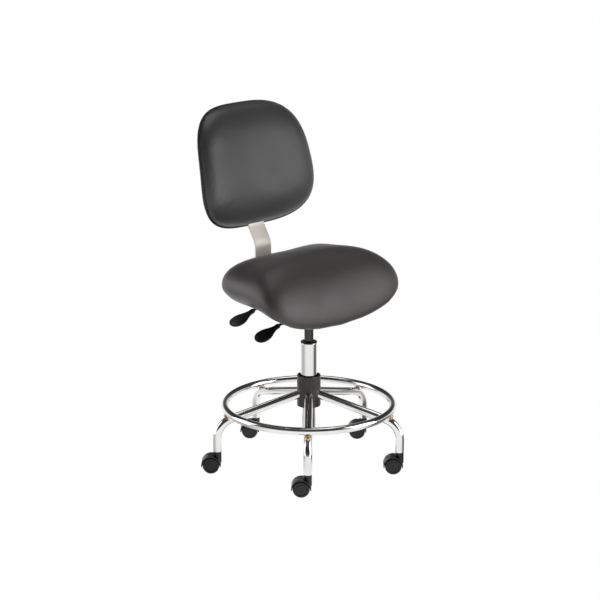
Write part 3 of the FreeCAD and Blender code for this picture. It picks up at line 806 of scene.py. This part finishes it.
class CHAIR_OT_column(bpy.types.Operator):
    """Turns the chromed column, its black collar and the lift's tube"""
    bl_idname = "chair.column"
    bl_label = "Turn the Column"

    def execute(self, context):
        size = base_size()
        bore, top = size.gas_radius + 0.05 * MM, size.column_top
        bottom = size.gas_low - size.gas_room
        corners = [(0, size.column_foot), (size.foot_radius, size.column_foot),
                   (size.foot_radius, size.foot_top), (size.column_radius, size.foot_top + size.shoulder),
                   (size.column_radius, top), (bore, top), (bore, bottom), (0, bottom)]
        column = lathe("column_chrome", rounded_profile(corners, 2.0 * MM, 6), segments=96)
        dress(smooth_by_angle(column, 40), "chrome", "base")
        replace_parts(column, "column_tube")
        corners = [(bore, top), (size.column_radius, top), (size.column_radius, top + 2.6 * MM),
                   (size.column_radius - 2 * MM, top + 4 * MM), (bore, top + 4 * MM), (bore, top)]
        collar = lathe("column_collar", rounded_profile(corners, 0.7 * MM, 3), segments=96)
        dress(smooth_by_angle(collar, 40), "moulded_black", "base")
        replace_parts(collar, "column_bush")
        corners = [(0, size.gas_low), (size.gas_radius, size.gas_low), (size.gas_radius, size.gas_taper),
                   (size.gas_top_radius, size.gas_top), (0, size.gas_top)]
        lift = lathe("lift_tube", rounded_profile(corners, 1.0 * MM), segments=72)
        dress(smooth_by_angle(lift, 40), "lift_black", "seat_frame")
        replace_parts(lift, "gas_tube")
        return {"FINISHED"}


# ---- castor pieces -----------------------------------------------------------
def castor_place(index):
    return (Matrix.Translation(leg_direction(index) * base_size().stem_reach)
            @ Matrix.Rotation(castor_size().trail_turn, 4, "Z"))


def wheel_profile():
    size = castor_size()
    r, wide = size.radius, size.outer - size.inner
    corners = [(0, 0), (r - 2.5 * MM, 0), (r, 2.5 * MM), (r, wide - 3.2 * MM),
               (r - 1.2 * MM, wide - 1.0 * MM), (r - 3.6 * MM, wide), (18.0 * MM, wide),
               (17.5 * MM, wide - 0.9 * MM), (15.7 * MM, wide - 0.9 * MM), (15.2 * MM, wide),
               (7.0 * MM, wide), (6.6 * MM, wide - 0.5 * MM), (0, wide - 0.5 * MM)]
    return rounded_profile(corners, 0.8 * MM, 4)


class CHAIR_OT_castors(bpy.types.Operator):
    """Moulds the ten castor wheels and rounds the hoods over them"""
    bl_idname = "chair.castors"
    bl_label = "Mould the Castors"

    def execute(self, context):
        size = castor_size()
        profile = wheel_profile()
        for i in range(LEG_COUNT):
            name = "castor_%d" % (i + 1)
            for side, turn in (("left", -1), ("right", 1)):
                place = (castor_place(i) @ Matrix.Translation((size.trail, -turn * size.inner, size.radius))
                         @ Matrix.Rotation(turn * math.pi / 2, 4, "X"))
                node = "%s_wheel_%s" % (name, side)
                wheel = lathe("%s_tyre_%s" % (name, side), profile, place, segments=72)
                dress(smooth_by_angle(wheel, 30), "wheel_black", node)
                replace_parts(wheel, node)
            hood = bevelled_copy(name + "_hood", name + "_fork", 1.1 * MM, 3)
            dress(hood, "moulded_black", name)
        return {"FINISHED"}


# ---- mechanism pieces ---------------------------------------------------------
class CHAIR_OT_mechanism(bpy.types.Operator):
    """Rounds the edges of the tilt mechanism's pressings under the seat"""
    bl_idname = "chair.mechanism"
    bl_label = "Press the Mechanism"

    def execute(self, context):
        housing = bevelled_copy("mechanism_housing", "tilt_housing", 0.8 * MM)
        dress(housing, "steel_black", "seat_frame")
        hinge = bevelled_copy("hinge_plate", "hinge_arm", 0.8 * MM)
        dress(hinge, "steel_black", "back_arm")
        return {"FINISHED"}


PADDLE_LENGTH = 98 * MM
PADDLE_DROOP = math.radians(17.5)
PADDLE_NECK_X = -174 * MM
# the tilt paddle's grey finish is painted light: its lit top painted onto the black moulding
# name, finish, distance behind the column's axis, height, roll in degrees
PADDLES = (("height", "moulded_black", -56, 481.8, -26), ("tilt", "grip_painted_lit_grey", 52, 505.8, -18))


def paddle(name, root, heading, roll, rows=48, around=36):
    """A flat egg-shaped grip that swells from its neck and is rolled about its own length."""
    across = Matrix.Rotation(roll, 3, heading) @ Vector((0, 1, 0))
    lift = across.cross(heading)
    points = []
    for row in range(rows + 1):
        t = 0.5 - 0.5 * math.cos(math.pi * row / rows)
        cap = math.sqrt(max(0.0, 1 - max(0.0, (0.07 - t) / 0.07, (t - 0.72) / 0.28) ** 2))
        swell = eased((t - 0.15) / 0.5)
        half = (7.5 + 13.5 * swell) * MM * max(cap, 0.02)
        thick = (6.0 - 1.6 * swell) * MM * max(cap ** 0.7, 0.02)
        for i in range(around):
            x, y = superellipse(2 * math.pi * i / around, 2.5)
            points.append(root + heading * (t * PADDLE_LENGTH) + across * (x * half) + lift * (y * thick))
    faces = ring_faces(rows + 1, around)
    faces += [tuple(range(around)), tuple(range(rows * around, (rows + 1) * around))]
    return face_outwards(new_piece(name, points, faces))


class CHAIR_OT_levers(bpy.types.Operator):
    """Moulds the two paddle grips on their lever rods"""
    bl_idname = "chair.levers"
    bl_label = "Mould the Levers"

    def execute(self, context):
        heading = Vector((-math.cos(PADDLE_DROOP), 0, -math.sin(PADDLE_DROOP)))
        for name, finish, y, z, roll in PADDLES:
            root = Vector((PADDLE_NECK_X, y * MM, z * MM))
            grip = paddle(name + "_paddle", root, heading, math.radians(roll))
            dress(grip, finish, name + "_lever")
            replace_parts(grip, name + "_grip")
        return {"FINISHED"}


def fastener_tree():
    """Fasteners: a cylinder head with a six-sided recess, set on each point."""
    tree = Tree("Socket Heads", {**floats("Head Radius", "Head Height", "Recess Radius"),
                                 "Rotation": "Rotation"})
    height = tree.given("Head Height")
    head = tree.add("GeometryNodeMeshCylinder", Vertices=40, Side_Segments=2, Fill_Segments=3,
                    Radius=tree.given("Head Radius"), Depth=height)
    recess = tree.add("GeometryNodeMeshCylinder", Vertices=6, Radius=tree.given("Recess Radius"),
                      Depth=tree.math("MULTIPLY", height, 1.1))
    raised = tree.add("GeometryNodeTransform", Geometry=recess, Translation=tree.point(Z=height))
    cut = tree.add("GeometryNodeMeshBoolean", {"operation": "DIFFERENCE"}, inputs=(head, raised))
    return tree.end(tree.add("GeometryNodeInstanceOnPoints", Points=tree.given("Geometry"), Instance=cut,
                             Rotation=tree.given("Rotation")))


def socket_heads(name, node, body, spots, radius, height, recess, turn=0.0):
    """Socket heads in the place of a CAD node's bolts."""
    values = {"Head Radius": radius * MM, "Head Height": height * MM, "Recess Radius": recess * MM,
              "Rotation": (turn, 0, 0)}
    heads = grown(name, fastener_tree(), values, "zinc_steel", body, points=spots)
    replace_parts(smooth_by_angle(heads, 30), node)


class CHAIR_OT_fasteners(bpy.types.Operator):
    """Sets socket-head bolts under the seat and on the strap"""
    bl_idname = "chair.fasteners"
    bl_label = "Set the Fasteners"

    def execute(self, context):
        seat, back = seat_size(), back_size()
        under = seat.board_z - 6 * MM
        socket_heads("seat_bolt_heads", "seat_bolts", "seat_frame",
                     [(x * MM, y * MM, under) for x in (-76, 76) for y in (-76, 76)], 5.5, 4, 2.6, math.pi)
        over = back.bar_z + back.bar_thick / 2 + 2.5 * MM
        socket_heads("strap_bolt_heads", "bar_bolts", "back_arm",
                     [(0, y * MM, over) for y in (98, 128)], 7, 5, 3.4)
        return {"FINISHED"}


# ---- seat ---------------------------------------------------------------------
def seat_surface(k, angle, top):
    """A point of the seat: k runs from 0 at the centre to 1 on the outline."""
    size = seat_size()
    power = size.square_top + (size.square - size.square_top) * k ** 2 if top else size.square
    across, s = superellipse(angle, power)
    s *= k
    x = across * k * size.half_width * (1 + size.taper * s)
    forward = s * (size.front if s > 0 else size.rear)
    drop = size.front_drop if s > 0 else size.rear_drop
    middle = size.middle_z - drop * (forward / 0.1) ** 2 + size.side_rise * (x / 0.1) ** 2
    if top:
        rearward = eased(0.5 - 1.5 * s)
        fullness = size.crown_power + (size.crown_power_rear - size.crown_power) * rearward
        height = middle + size.crown * math.sqrt(max(0.0, 1 - k ** fullness))
    else:
        lip = eased((forward - 95 * MM) / (60 * MM))
        side = eased((abs(x) - 90 * MM) / (60 * MM))
        belly = middle - size.belly * math.sqrt(max(0.0, 1 - k ** 4))
        rim = size.board_z - size.side_sag * side * eased((k - 0.78) / 0.12)
        height = belly * lip + max(belly, rim) * (1 - lip)
    return Vector((x, size.middle_y - forward, height))


def domed_pair(name, surface, rows=44, around=160):
    """Closed mesh from two caps that meet on their outline; surface(k, angle, top) gives its points."""
    points = []
    for top in (True, False):
        for row in range(1, rows + (1 if top else 0)):
            k = math.sin(math.pi / 2 * (row if top else rows - row) / rows)
            points += [surface(k, 2 * math.pi * i / around, top) for i in range(around)]
    last = len(points) - around
    faces = ring_faces(2 * rows - 1, around)
    crown, base = len(points), len(points) + 1
    points += [surface(0.0, 0.0, True), surface(0.0, 0.0, False)]
    for i in range(around):
        j = (i + 1) % around
        faces.append((j, i, crown))
        faces.append((last + i, last + j, base))
    return face_outwards(new_piece(name, points, faces))


def relaxed(shape, verts, times):
    for _ in range(times):
        bmesh.ops.smooth_vert(shape, verts=verts, factor=0.5, use_axis_x=True, use_axis_y=True,
                              use_axis_z=True)


CLOTH = {"use_pressure": True, "uniform_pressure_force": 4.0, "quality": 5, "tension_stiffness": 30.0,
         "compression_stiffness": 30.0, "bending_stiffness": 2.0}
CLOTH_MOMENTS = 20


def filled(piece, held, limit):
    """Fills the cover like a bag with cloth simulation, and keeps each point's move under limit."""
    group = piece.vertex_groups.new(name="fixed")
    group.add([v.index for v in piece.data.vertices if held(v.co)], 1.0, "REPLACE")
    cloth = piece.modifiers.new("filled cover", "CLOTH")
    for setting, value in CLOTH.items():
        setattr(cloth.settings, setting, value)
    cloth.settings.vertex_group_mass = group.name
    cloth.settings.effector_weights.gravity = 0.0
    scene = bpy.context.scene
    for moment in range(CLOTH_MOMENTS):
        scene.frame_set(moment + 1)
    ready = piece.evaluated_get(bpy.context.evaluated_depsgraph_get())
    after = [v.co.copy() for v in ready.to_mesh().vertices]
    ready.to_mesh_clear()
    piece.modifiers.clear()
    piece.vertex_groups.clear()
    scene.frame_set(1)
    for vertex, end in zip(piece.data.vertices, after):
        move = end - vertex.co
        vertex.co = vertex.co + move * limit / (limit + move.length)


def plumped(piece, held, limit, smoothing):
    """Covers a cushion evenly and fills it; held(point) is true where the cover is fixed down."""
    remesh = piece.modifiers.new("even cover", "REMESH")
    remesh.mode = "VOXEL"
    remesh.voxel_size = 5 * MM
    even, old = finished_mesh(piece), piece.data
    piece.modifiers.clear()
    piece.data = even
    bpy.data.meshes.remove(old)
    with reshaping(piece) as shape:
        relaxed(shape, [v for v in shape.verts if not held(v.co)], smoothing)
        bmesh.ops.recalc_face_normals(shape, faces=shape.faces)
    filled(piece, held, limit)
    with reshaping(piece) as shape:
        bmesh.ops.subdivide_edges(shape, edges=shape.edges, cuts=1, use_grid_fill=True)
        relaxed(shape, shape.verts, 3)
        bmesh.ops.recalc_face_normals(shape, faces=shape.faces)
    shade_smooth(piece.data)


class CHAIR_OT_seat(bpy.types.Operator):
    """Upholsters the seat: a crowned cushion filled tight over its board"""
    bl_idname = "chair.seat"
    bl_label = "Upholster the Seat"

    def execute(self, context):
        size = seat_size()
        cushion = domed_pair("seat_upholstery", seat_surface)
        flat = size.board_z + 1.5 * MM

        def held(point):
            return point.z < flat and abs(point.x) < size.board_half_width

        plumped(cushion, held, 1.5 * MM, 6)
        dress(cushion, "seat_vinyl", "seat_frame")
        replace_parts(cushion, "seat_cushion")
        return {"FINISHED"}


def plate(name, centre, half_width, half_depth, corner, low, high):
    """A flat board with rounded corners."""
    section = rounded_rectangle(2 * half_width, 2 * half_depth, corner, 12)
    count = len(section)
    points = [centre + Vector((x, y, z)) for z in (low, high) for x, y in section]
    faces = ring_faces(2, count) + [tuple(range(count - 1, -1, -1)), tuple(range(count, 2 * count))]
    return face_outwards(new_piece(name, points, faces, smooth=False))


def staple_tree():
    """Staples: small wire bridges laid at even steps along a rounded rectangle."""
    tree = Tree("Staples", {**floats("Width", "Depth", "Corner", "Spacing", "Leg Span", "Wire"),
                            "Centre": "Vector"})
    outline = tree.add("GeometryNodeCurvePrimitiveQuadrilateral", Width=tree.given("Width"),
                       Height=tree.given("Depth"))
    fillet = tree.add("GeometryNodeFilletCurve", Curve=outline, Radius=tree.given("Corner"))
    spaced = tree.node("GeometryNodeCurveToPoints", {"mode": "LENGTH"}, Curve=fillet,
                       Length=tree.given("Spacing")).outputs
    size = tree.point(X=tree.given("Wire"), Y=tree.given("Leg Span"), Z=tree.given("Wire"))
    laid = tree.add("GeometryNodeInstanceOnPoints", Points=spaced["Points"], Rotation=spaced["Rotation"],
                    Instance=tree.add("GeometryNodeMeshCube", Size=size))
    return tree.end(tree.add("GeometryNodeTransform", Geometry=laid, Translation=tree.given("Centre")))


class CHAIR_OT_seat_underside(bpy.types.Operator):
    """Closes the seat's underside with a dust cover held by staples"""
    bl_idname = "chair.seat_underside"
    bl_label = "Close the Underside"

    def execute(self, context):
        size = seat_size()
        half_width, half_depth = size.board_half_width - 20 * MM, size.board_half_depth - 14 * MM
        centre, corner = Vector((0, size.middle_y, 0)), 60 * MM
        board = plate("seat_plywood", centre, half_width, half_depth, corner, size.board_z,
                      size.board_z + 12 * MM)
        dress(board, "plywood", "seat_frame")
        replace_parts(board, "seat_board")
        low = size.board_z - 0.9 * MM
        cover = plate("dust_cover", centre, half_width, half_depth, corner, low, size.board_z)
        dress(cover, "dust_cloth", "seat_frame")
        inset = 6 * MM
        values = {"Width": 2 * (half_width - inset), "Depth": 2 * (half_depth - inset),
                  "Corner": corner - inset, "Spacing": 24 * MM, "Leg Span": 9 * MM, "Wire": 0.9 * MM,
                  "Centre": (0, size.middle_y, low - 0.2 * MM)}
        staples = grown("dust_cover_staples", staple_tree(), values, "zinc_steel",
                        "seat_frame")
        smooth_by_angle(staples, 30)
        return {"FINISHED"}


# ---- back ---------------------------------------------------------------------
def back_point(x, up, forward):
    size = back_size()
    s, c = math.sin(size.tilt), math.cos(size.tilt)
    return Vector((x, size.middle_y + up * s - forward * c, size.middle_z + up * c + forward * s))


def seam_offset(x, up):
    size = back_size()
    return size.hollow * (x / 0.1) ** 2 - size.lumbar * (up / 0.1) ** 2


def back_outline(k, angle, inset):
    """Across and up on the back's face, with the outline drawn in by inset."""
    size = back_size()
    half_width, half_height = size.half_width - inset, size.half_height - inset
    across, rise = superellipse(angle, size.square)
    up = k * rise * half_height
    x = k * across * half_width * (1 + size.taper * up / half_height)
    return x, up


def cushion_surface(k, angle, top):
    size = back_size()
    x, up = back_outline(k, angle, size.piping * 0.7)
    bulge = size.cushion * math.sqrt(max(0.0, 1 - k ** 4)) if top else -1.5 * MM
    return back_point(x, up, seam_offset(x, up) + bulge)


def shell_surface(k, angle, top):
    size = back_size()
    x, up = back_outline(k, angle, size.piping * 0.8)
    bulge = 1.5 * MM if top else -size.shell * math.sqrt(max(0.0, 1 - k ** 8))
    return back_point(x, up, seam_offset(x, up) + bulge)


def back_box(name, low, high):
    """A box in the back's own directions, to cut with."""
    points = [back_point(x * MM, up * MM, forward * MM) for x in (low[0], high[0])
              for up in (low[1], high[1]) for forward in (low[2], high[2])]
    faces = [(0, 1, 3, 2), (4, 6, 7, 5), (0, 4, 5, 1), (2, 3, 7, 6), (0, 2, 6, 4), (1, 5, 7, 3)]
    return face_outwards(new_piece(name, points, faces, smooth=False))


def cut_with(piece, cutter):
    """Takes the cutter's volume out of the piece, then removes the cutter."""
    boolean = piece.modifiers.new("cut", "BOOLEAN")
    boolean.operation = "DIFFERENCE"
    boolean.solver = "EXACT"
    boolean.object = cutter
    mesh = finished_mesh(piece)
    piece.modifiers.clear()
    piece.data = mesh
    bpy.data.objects.remove(cutter)


class CHAIR_OT_back(bpy.types.Operator):
    """Upholsters the back: cushion, shell and the piping between them"""
    bl_idname = "chair.back"
    bl_label = "Upholster the Back"

    def execute(self, context):
        size = back_size()
        cushion = domed_pair("back_upholstery", cushion_surface)

        middle = back_point(0, 0, 0)
        rise, ahead = back_point(0, 1, 0) - middle, back_point(0, 0, 1) - middle

        def held(point):
            from_middle = Vector(point) - middle
            return from_middle.dot(ahead) < seam_offset(point[0], from_middle.dot(rise)) + 3 * MM

        plumped(cushion, held, 0.5 * MM, 4)
        dress(cushion, "back_vinyl", "backrest")
        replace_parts(cushion, "back_cushion")

        shell = domed_pair("back_shell_moulding", shell_surface, rows=36, around=180)
        reach, strap = size.bar_width / 2 / MM + 3.5, size.bar_offset / MM
        cut_with(shell, back_box("strap_slot", (-reach, -240, strap - 7.5), (reach, -120, strap + 7.5)))
        dress(smooth_by_angle(shell, 50), "shell_plastic", "backrest")
        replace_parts(shell, "back_shell")

        around, path = 260, []
        for i in range(around):
            angle = 2 * math.pi * i / around
            x, up = back_outline(1.0, angle, size.piping * 0.55)
            before, after = (Vector(back_outline(1.0, angle + step, size.piping)) for step in (-0.01, 0.01))
            along = (after - before).normalized()
            out = back_point(along.y, -along.x, 0) - middle
            path.append((back_point(x, up, seam_offset(x, up)), out, ahead))
        piping = swept("back_piping_cord", path, circle_section(3.3 * MM, 14), closed=True)
        dress(piping, "piping_vinyl", "backrest")
        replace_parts(piping, "back_piping")
        return {"FINISHED"}


class CHAIR_OT_strap(bpy.types.Operator):
    """Bends the satin nickel strap that carries the back"""
    bl_idname = "chair.strap"
    bl_label = "Bend the Strap"

    def execute(self, context):
        size = back_size()
        knee = back_point(0, -186 * MM, size.bar_offset)
        corners = [Vector((0, size.bar_start, size.bar_z)), Vector((0, size.bar_y, size.bar_z)),
                   Vector((0, size.bar_y, size.bar_kink)), knee, back_point(0, 25 * MM, size.bar_offset)]
        route = rounded_route(corners, [45 * MM, 60 * MM, 60 * MM], steps=18)
        across = Vector((1, 0, 0))
        path = [(point, across, across.cross(heading)) for point, heading in route]
        strap = swept("back_strap", path, rounded_rectangle(size.bar_width, size.bar_thick, 1.1 * MM, 4))
        dress(smooth_by_angle(strap, 30), "nickel_strap", "back_arm")
        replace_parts(strap, "back_bar")
        return {"FINISHED"}


# ---- the frame's own pieces -----------------------------------------------------
NODE_FINISHES = {
    "stem_sockets": "zinc_steel", "thrust_bearing": "zinc_steel", "piston_rod": "zinc_steel",
    "piston": "zinc_steel", "rod_clip": "zinc_steel", "pivot_pins": "zinc_steel", "tilt_spring": "zinc_steel",
    "height_lever": "steel_black", "tilt_lever": "steel_black",
    "back_carriage": "moulded_black", "back_screws": "zinc_steel",
}


class CHAIR_OT_frame_finishes(bpy.types.Operator):
    """Gives the frame's own pieces their metal and plastic finishes"""
    bl_idname = "chair.frame_finishes"
    bl_label = "Finish the Frame"

    def execute(self, context):
        finishes = dict(NODE_FINISHES)
        for i in range(LEG_COUNT):
            finishes["castor_%d_stem" % (i + 1)] = "zinc_steel"
            finishes["castor_%d_axle" % (i + 1)] = "zinc_steel"
        for node, finish in finishes.items():
            for material_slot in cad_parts[node].material_slots:
                material_slot.material = finish_named(finish)
        return {"FINISHED"}


# ---- stage --------------------------------------------------------------------
def studio_floor(near):
    """White sweep; what shines up from it dims to the sides, as black flags there would make it."""
    sweep = Finish("studio_floor", (1, 1, 1), 1.0)
    turned_place = sweep.add("Mapping", Vector=sweep.place, Rotation=(0, 0, -math.atan2(near.y, near.x)))
    split = sweep.add("SeparateXYZ", Vector=turned_place.outputs["Vector"])
    bearing = sweep.add("Math", {"operation": "ARCTAN2"})
    feed(sweep.tree, split.outputs["Y"], bearing.inputs[0])
    feed(sweep.tree, split.outputs["X"], bearing.inputs[1])
    ramp = sweep.add("ValToRGB", Fac=sweep.ranged(bearing.outputs["Value"], 0.0, 1.0, -math.pi, math.pi))
    grey_ramp(ramp, FLAGS)
    mix = sweep.add("MixShader", Fac=sweep.add("LightPath").outputs["Is Camera Ray"])
    feed(sweep.tree, sweep.add("Emission", Color=ramp.outputs["Color"]).outputs[0], mix.inputs[1])
    feed(sweep.tree, sweep.add("Emission").outputs[0], mix.inputs[2])
    feed(sweep.tree, mix.outputs[0], sweep.tree.nodes["Material Output"].inputs["Surface"])
    return sweep.material


def grey_ramp(node, stops):
    """Sets a colour ramp to grey values at positions."""
    elements = node.color_ramp.elements
    while len(elements) < len(stops):
        elements.new(0.5)
    for element, (position, value) in zip(elements, stops):
        element.position = position
        element.color = (value, value, value, 1)


# grey by bearing round the chair, from 0 and 1 on its far side to 0.5 at the viewer's
FLAGS = ((0.0, 0.95), (0.16, 0.9), (0.22, 0.12), (0.30, 0.12), (0.37, 0.9), (0.5, 1.0), (0.64, 0.95),
         (0.72, 0.5), (0.80, 0.5), (0.88, 0.9), (1.0, 0.95))
# grey by height of the sky, from 0 at the horizon to 1 overhead
SKY = ((0.0, 1.0), (0.09, 0.95), (0.20, 0.22), (0.34, 0.05), (0.62, 0.03), (1.0, 0.12))


# name, across, towards the viewer and height in metres, width, height and power in watts
SOFTBOXES = (("left_softbox", -2.6, 0.2, 1.0, 1.6, 2.8, 24), ("right_softbox", 2.5, -0.7, 1.3, 1.8, 2.8, 46),
             ("top_softbox", 0.0, 0.7, 3.4, 2.0, 2.0, 18))
AIM = (0, 0, 0.75)
CAMERA_PLACE = (-4.1741, -4.2840, 2.1627)
CAMERA_HEADING = (0.66965, 0.69344, -0.26589)
CAMERA_LENS = 124.62
FLOOR_REACH = 60.0


def softbox(name, place, width, height, power):
    lamp = bpy.data.lights.new(name, "AREA")
    lamp.shape = "RECTANGLE"
    lamp.size, lamp.size_y, lamp.energy = width, height, power
    box = in_scene(name, lamp)
    box.location = place
    box.rotation_euler = (Vector(AIM) - place).to_track_quat("-Z", "Y").to_euler()


def sky():
    world = bpy.data.worlds.new("studio")
    world.use_nodes = True
    tree = world.node_tree
    place = tree.nodes.new("ShaderNodeTexCoord")
    split = tree.nodes.new("ShaderNodeSeparateXYZ")
    ramp = tree.nodes.new("ShaderNodeValToRGB")
    grey_ramp(ramp, SKY)
    feed(tree, place.outputs["Generated"], split.inputs["Vector"])
    feed(tree, split.outputs["Z"], ramp.inputs["Fac"])
    feed(tree, ramp.outputs["Color"], tree.nodes["Background"].inputs["Color"])
    return world


class CHAIR_OT_stage(bpy.types.Operator):
    """Sets the pale floor, the sky, the softboxes and the camera"""
    bl_idname = "chair.stage"
    bl_label = "Light the Stage"

    def execute(self, context):
        scene = context.scene
        scene.view_settings.view_transform = "Standard"
        up = Vector((0, 0, 1))
        forward = Vector(CAMERA_HEADING).normalized()
        right = forward.cross(up).normalized()
        near = right.cross(up) * -1
        corners = [(x * FLOOR_REACH, y * FLOOR_REACH, 0) for x, y in ((-1, -1), (1, -1), (1, 1), (-1, 1))]
        floor = new_piece("floor", corners, [(0, 1, 2, 3)], smooth=False)
        floor.data.materials.append(studio_floor(near))
        scene.world = sky()
        for name, across, towards, height, *size_and_power in SOFTBOXES:
            softbox(name, right * across + near * towards + up * height, *size_and_power)
        lens = bpy.data.cameras.new("catalogue_camera")
        lens.sensor_width = 36.0
        lens.lens = CAMERA_LENS
        lens.clip_end = 200.0
        camera = in_scene("catalogue_camera", lens)
        turn = Matrix((right, right.cross(forward), -forward)).transposed().to_4x4()
        camera.matrix_world = Matrix.Translation(CAMERA_PLACE) @ turn
        scene.camera = camera
        return {"FINISHED"}


class CHAIR_PT_maker(bpy.types.Panel):
    """Lists the steps that finish the chair"""
    bl_label = "Drafting Chair"
    bl_idname = "CHAIR_PT_maker"
    bl_space_type = "VIEW_3D"
    bl_region_type = "UI"
    bl_category = "Drafting Chair"

    def draw(self, context):
        layout = self.layout
        for step in STEPS:
            layout.operator(step.bl_idname)
        for group_name, group in GROUPS.items():
            box = layout.box()
            for name in group.__annotations__:
                box.prop(getattr(context.scene, group_name), name)


STEPS = (CHAIR_OT_legs, CHAIR_OT_foot_ring, CHAIR_OT_hub, CHAIR_OT_column, CHAIR_OT_castors,
         CHAIR_OT_mechanism, CHAIR_OT_levers, CHAIR_OT_fasteners, CHAIR_OT_seat, CHAIR_OT_seat_underside,
         CHAIR_OT_back, CHAIR_OT_strap, CHAIR_OT_frame_finishes, CHAIR_OT_stage)
GROUPS = {"chair_base": BaseSettings, "chair_castor": CastorSettings, "chair_seat": SeatSettings,
          "chair_back": BackSettings, "chair_finish": FinishSettings}


def register():
    for group in GROUPS.values():
        bpy.utils.register_class(group)
    for step in STEPS + (CHAIR_PT_maker,):
        bpy.utils.register_class(step)
    for name, group in GROUPS.items():
        setattr(bpy.types.Scene, name, bpy.props.PointerProperty(type=group))


def unregister():
    for name in GROUPS:
        delattr(bpy.types.Scene, name)
    for step in reversed(STEPS + (CHAIR_PT_maker,)):
        bpy.utils.unregister_class(step)
    for group in GROUPS.values():
        bpy.utils.unregister_class(group)


def main():
    register()
    for step in STEPS:
        area, name = step.bl_idname.split(".")
        getattr(getattr(bpy.ops, area), name)()


if __name__ == "__main__":
    main()
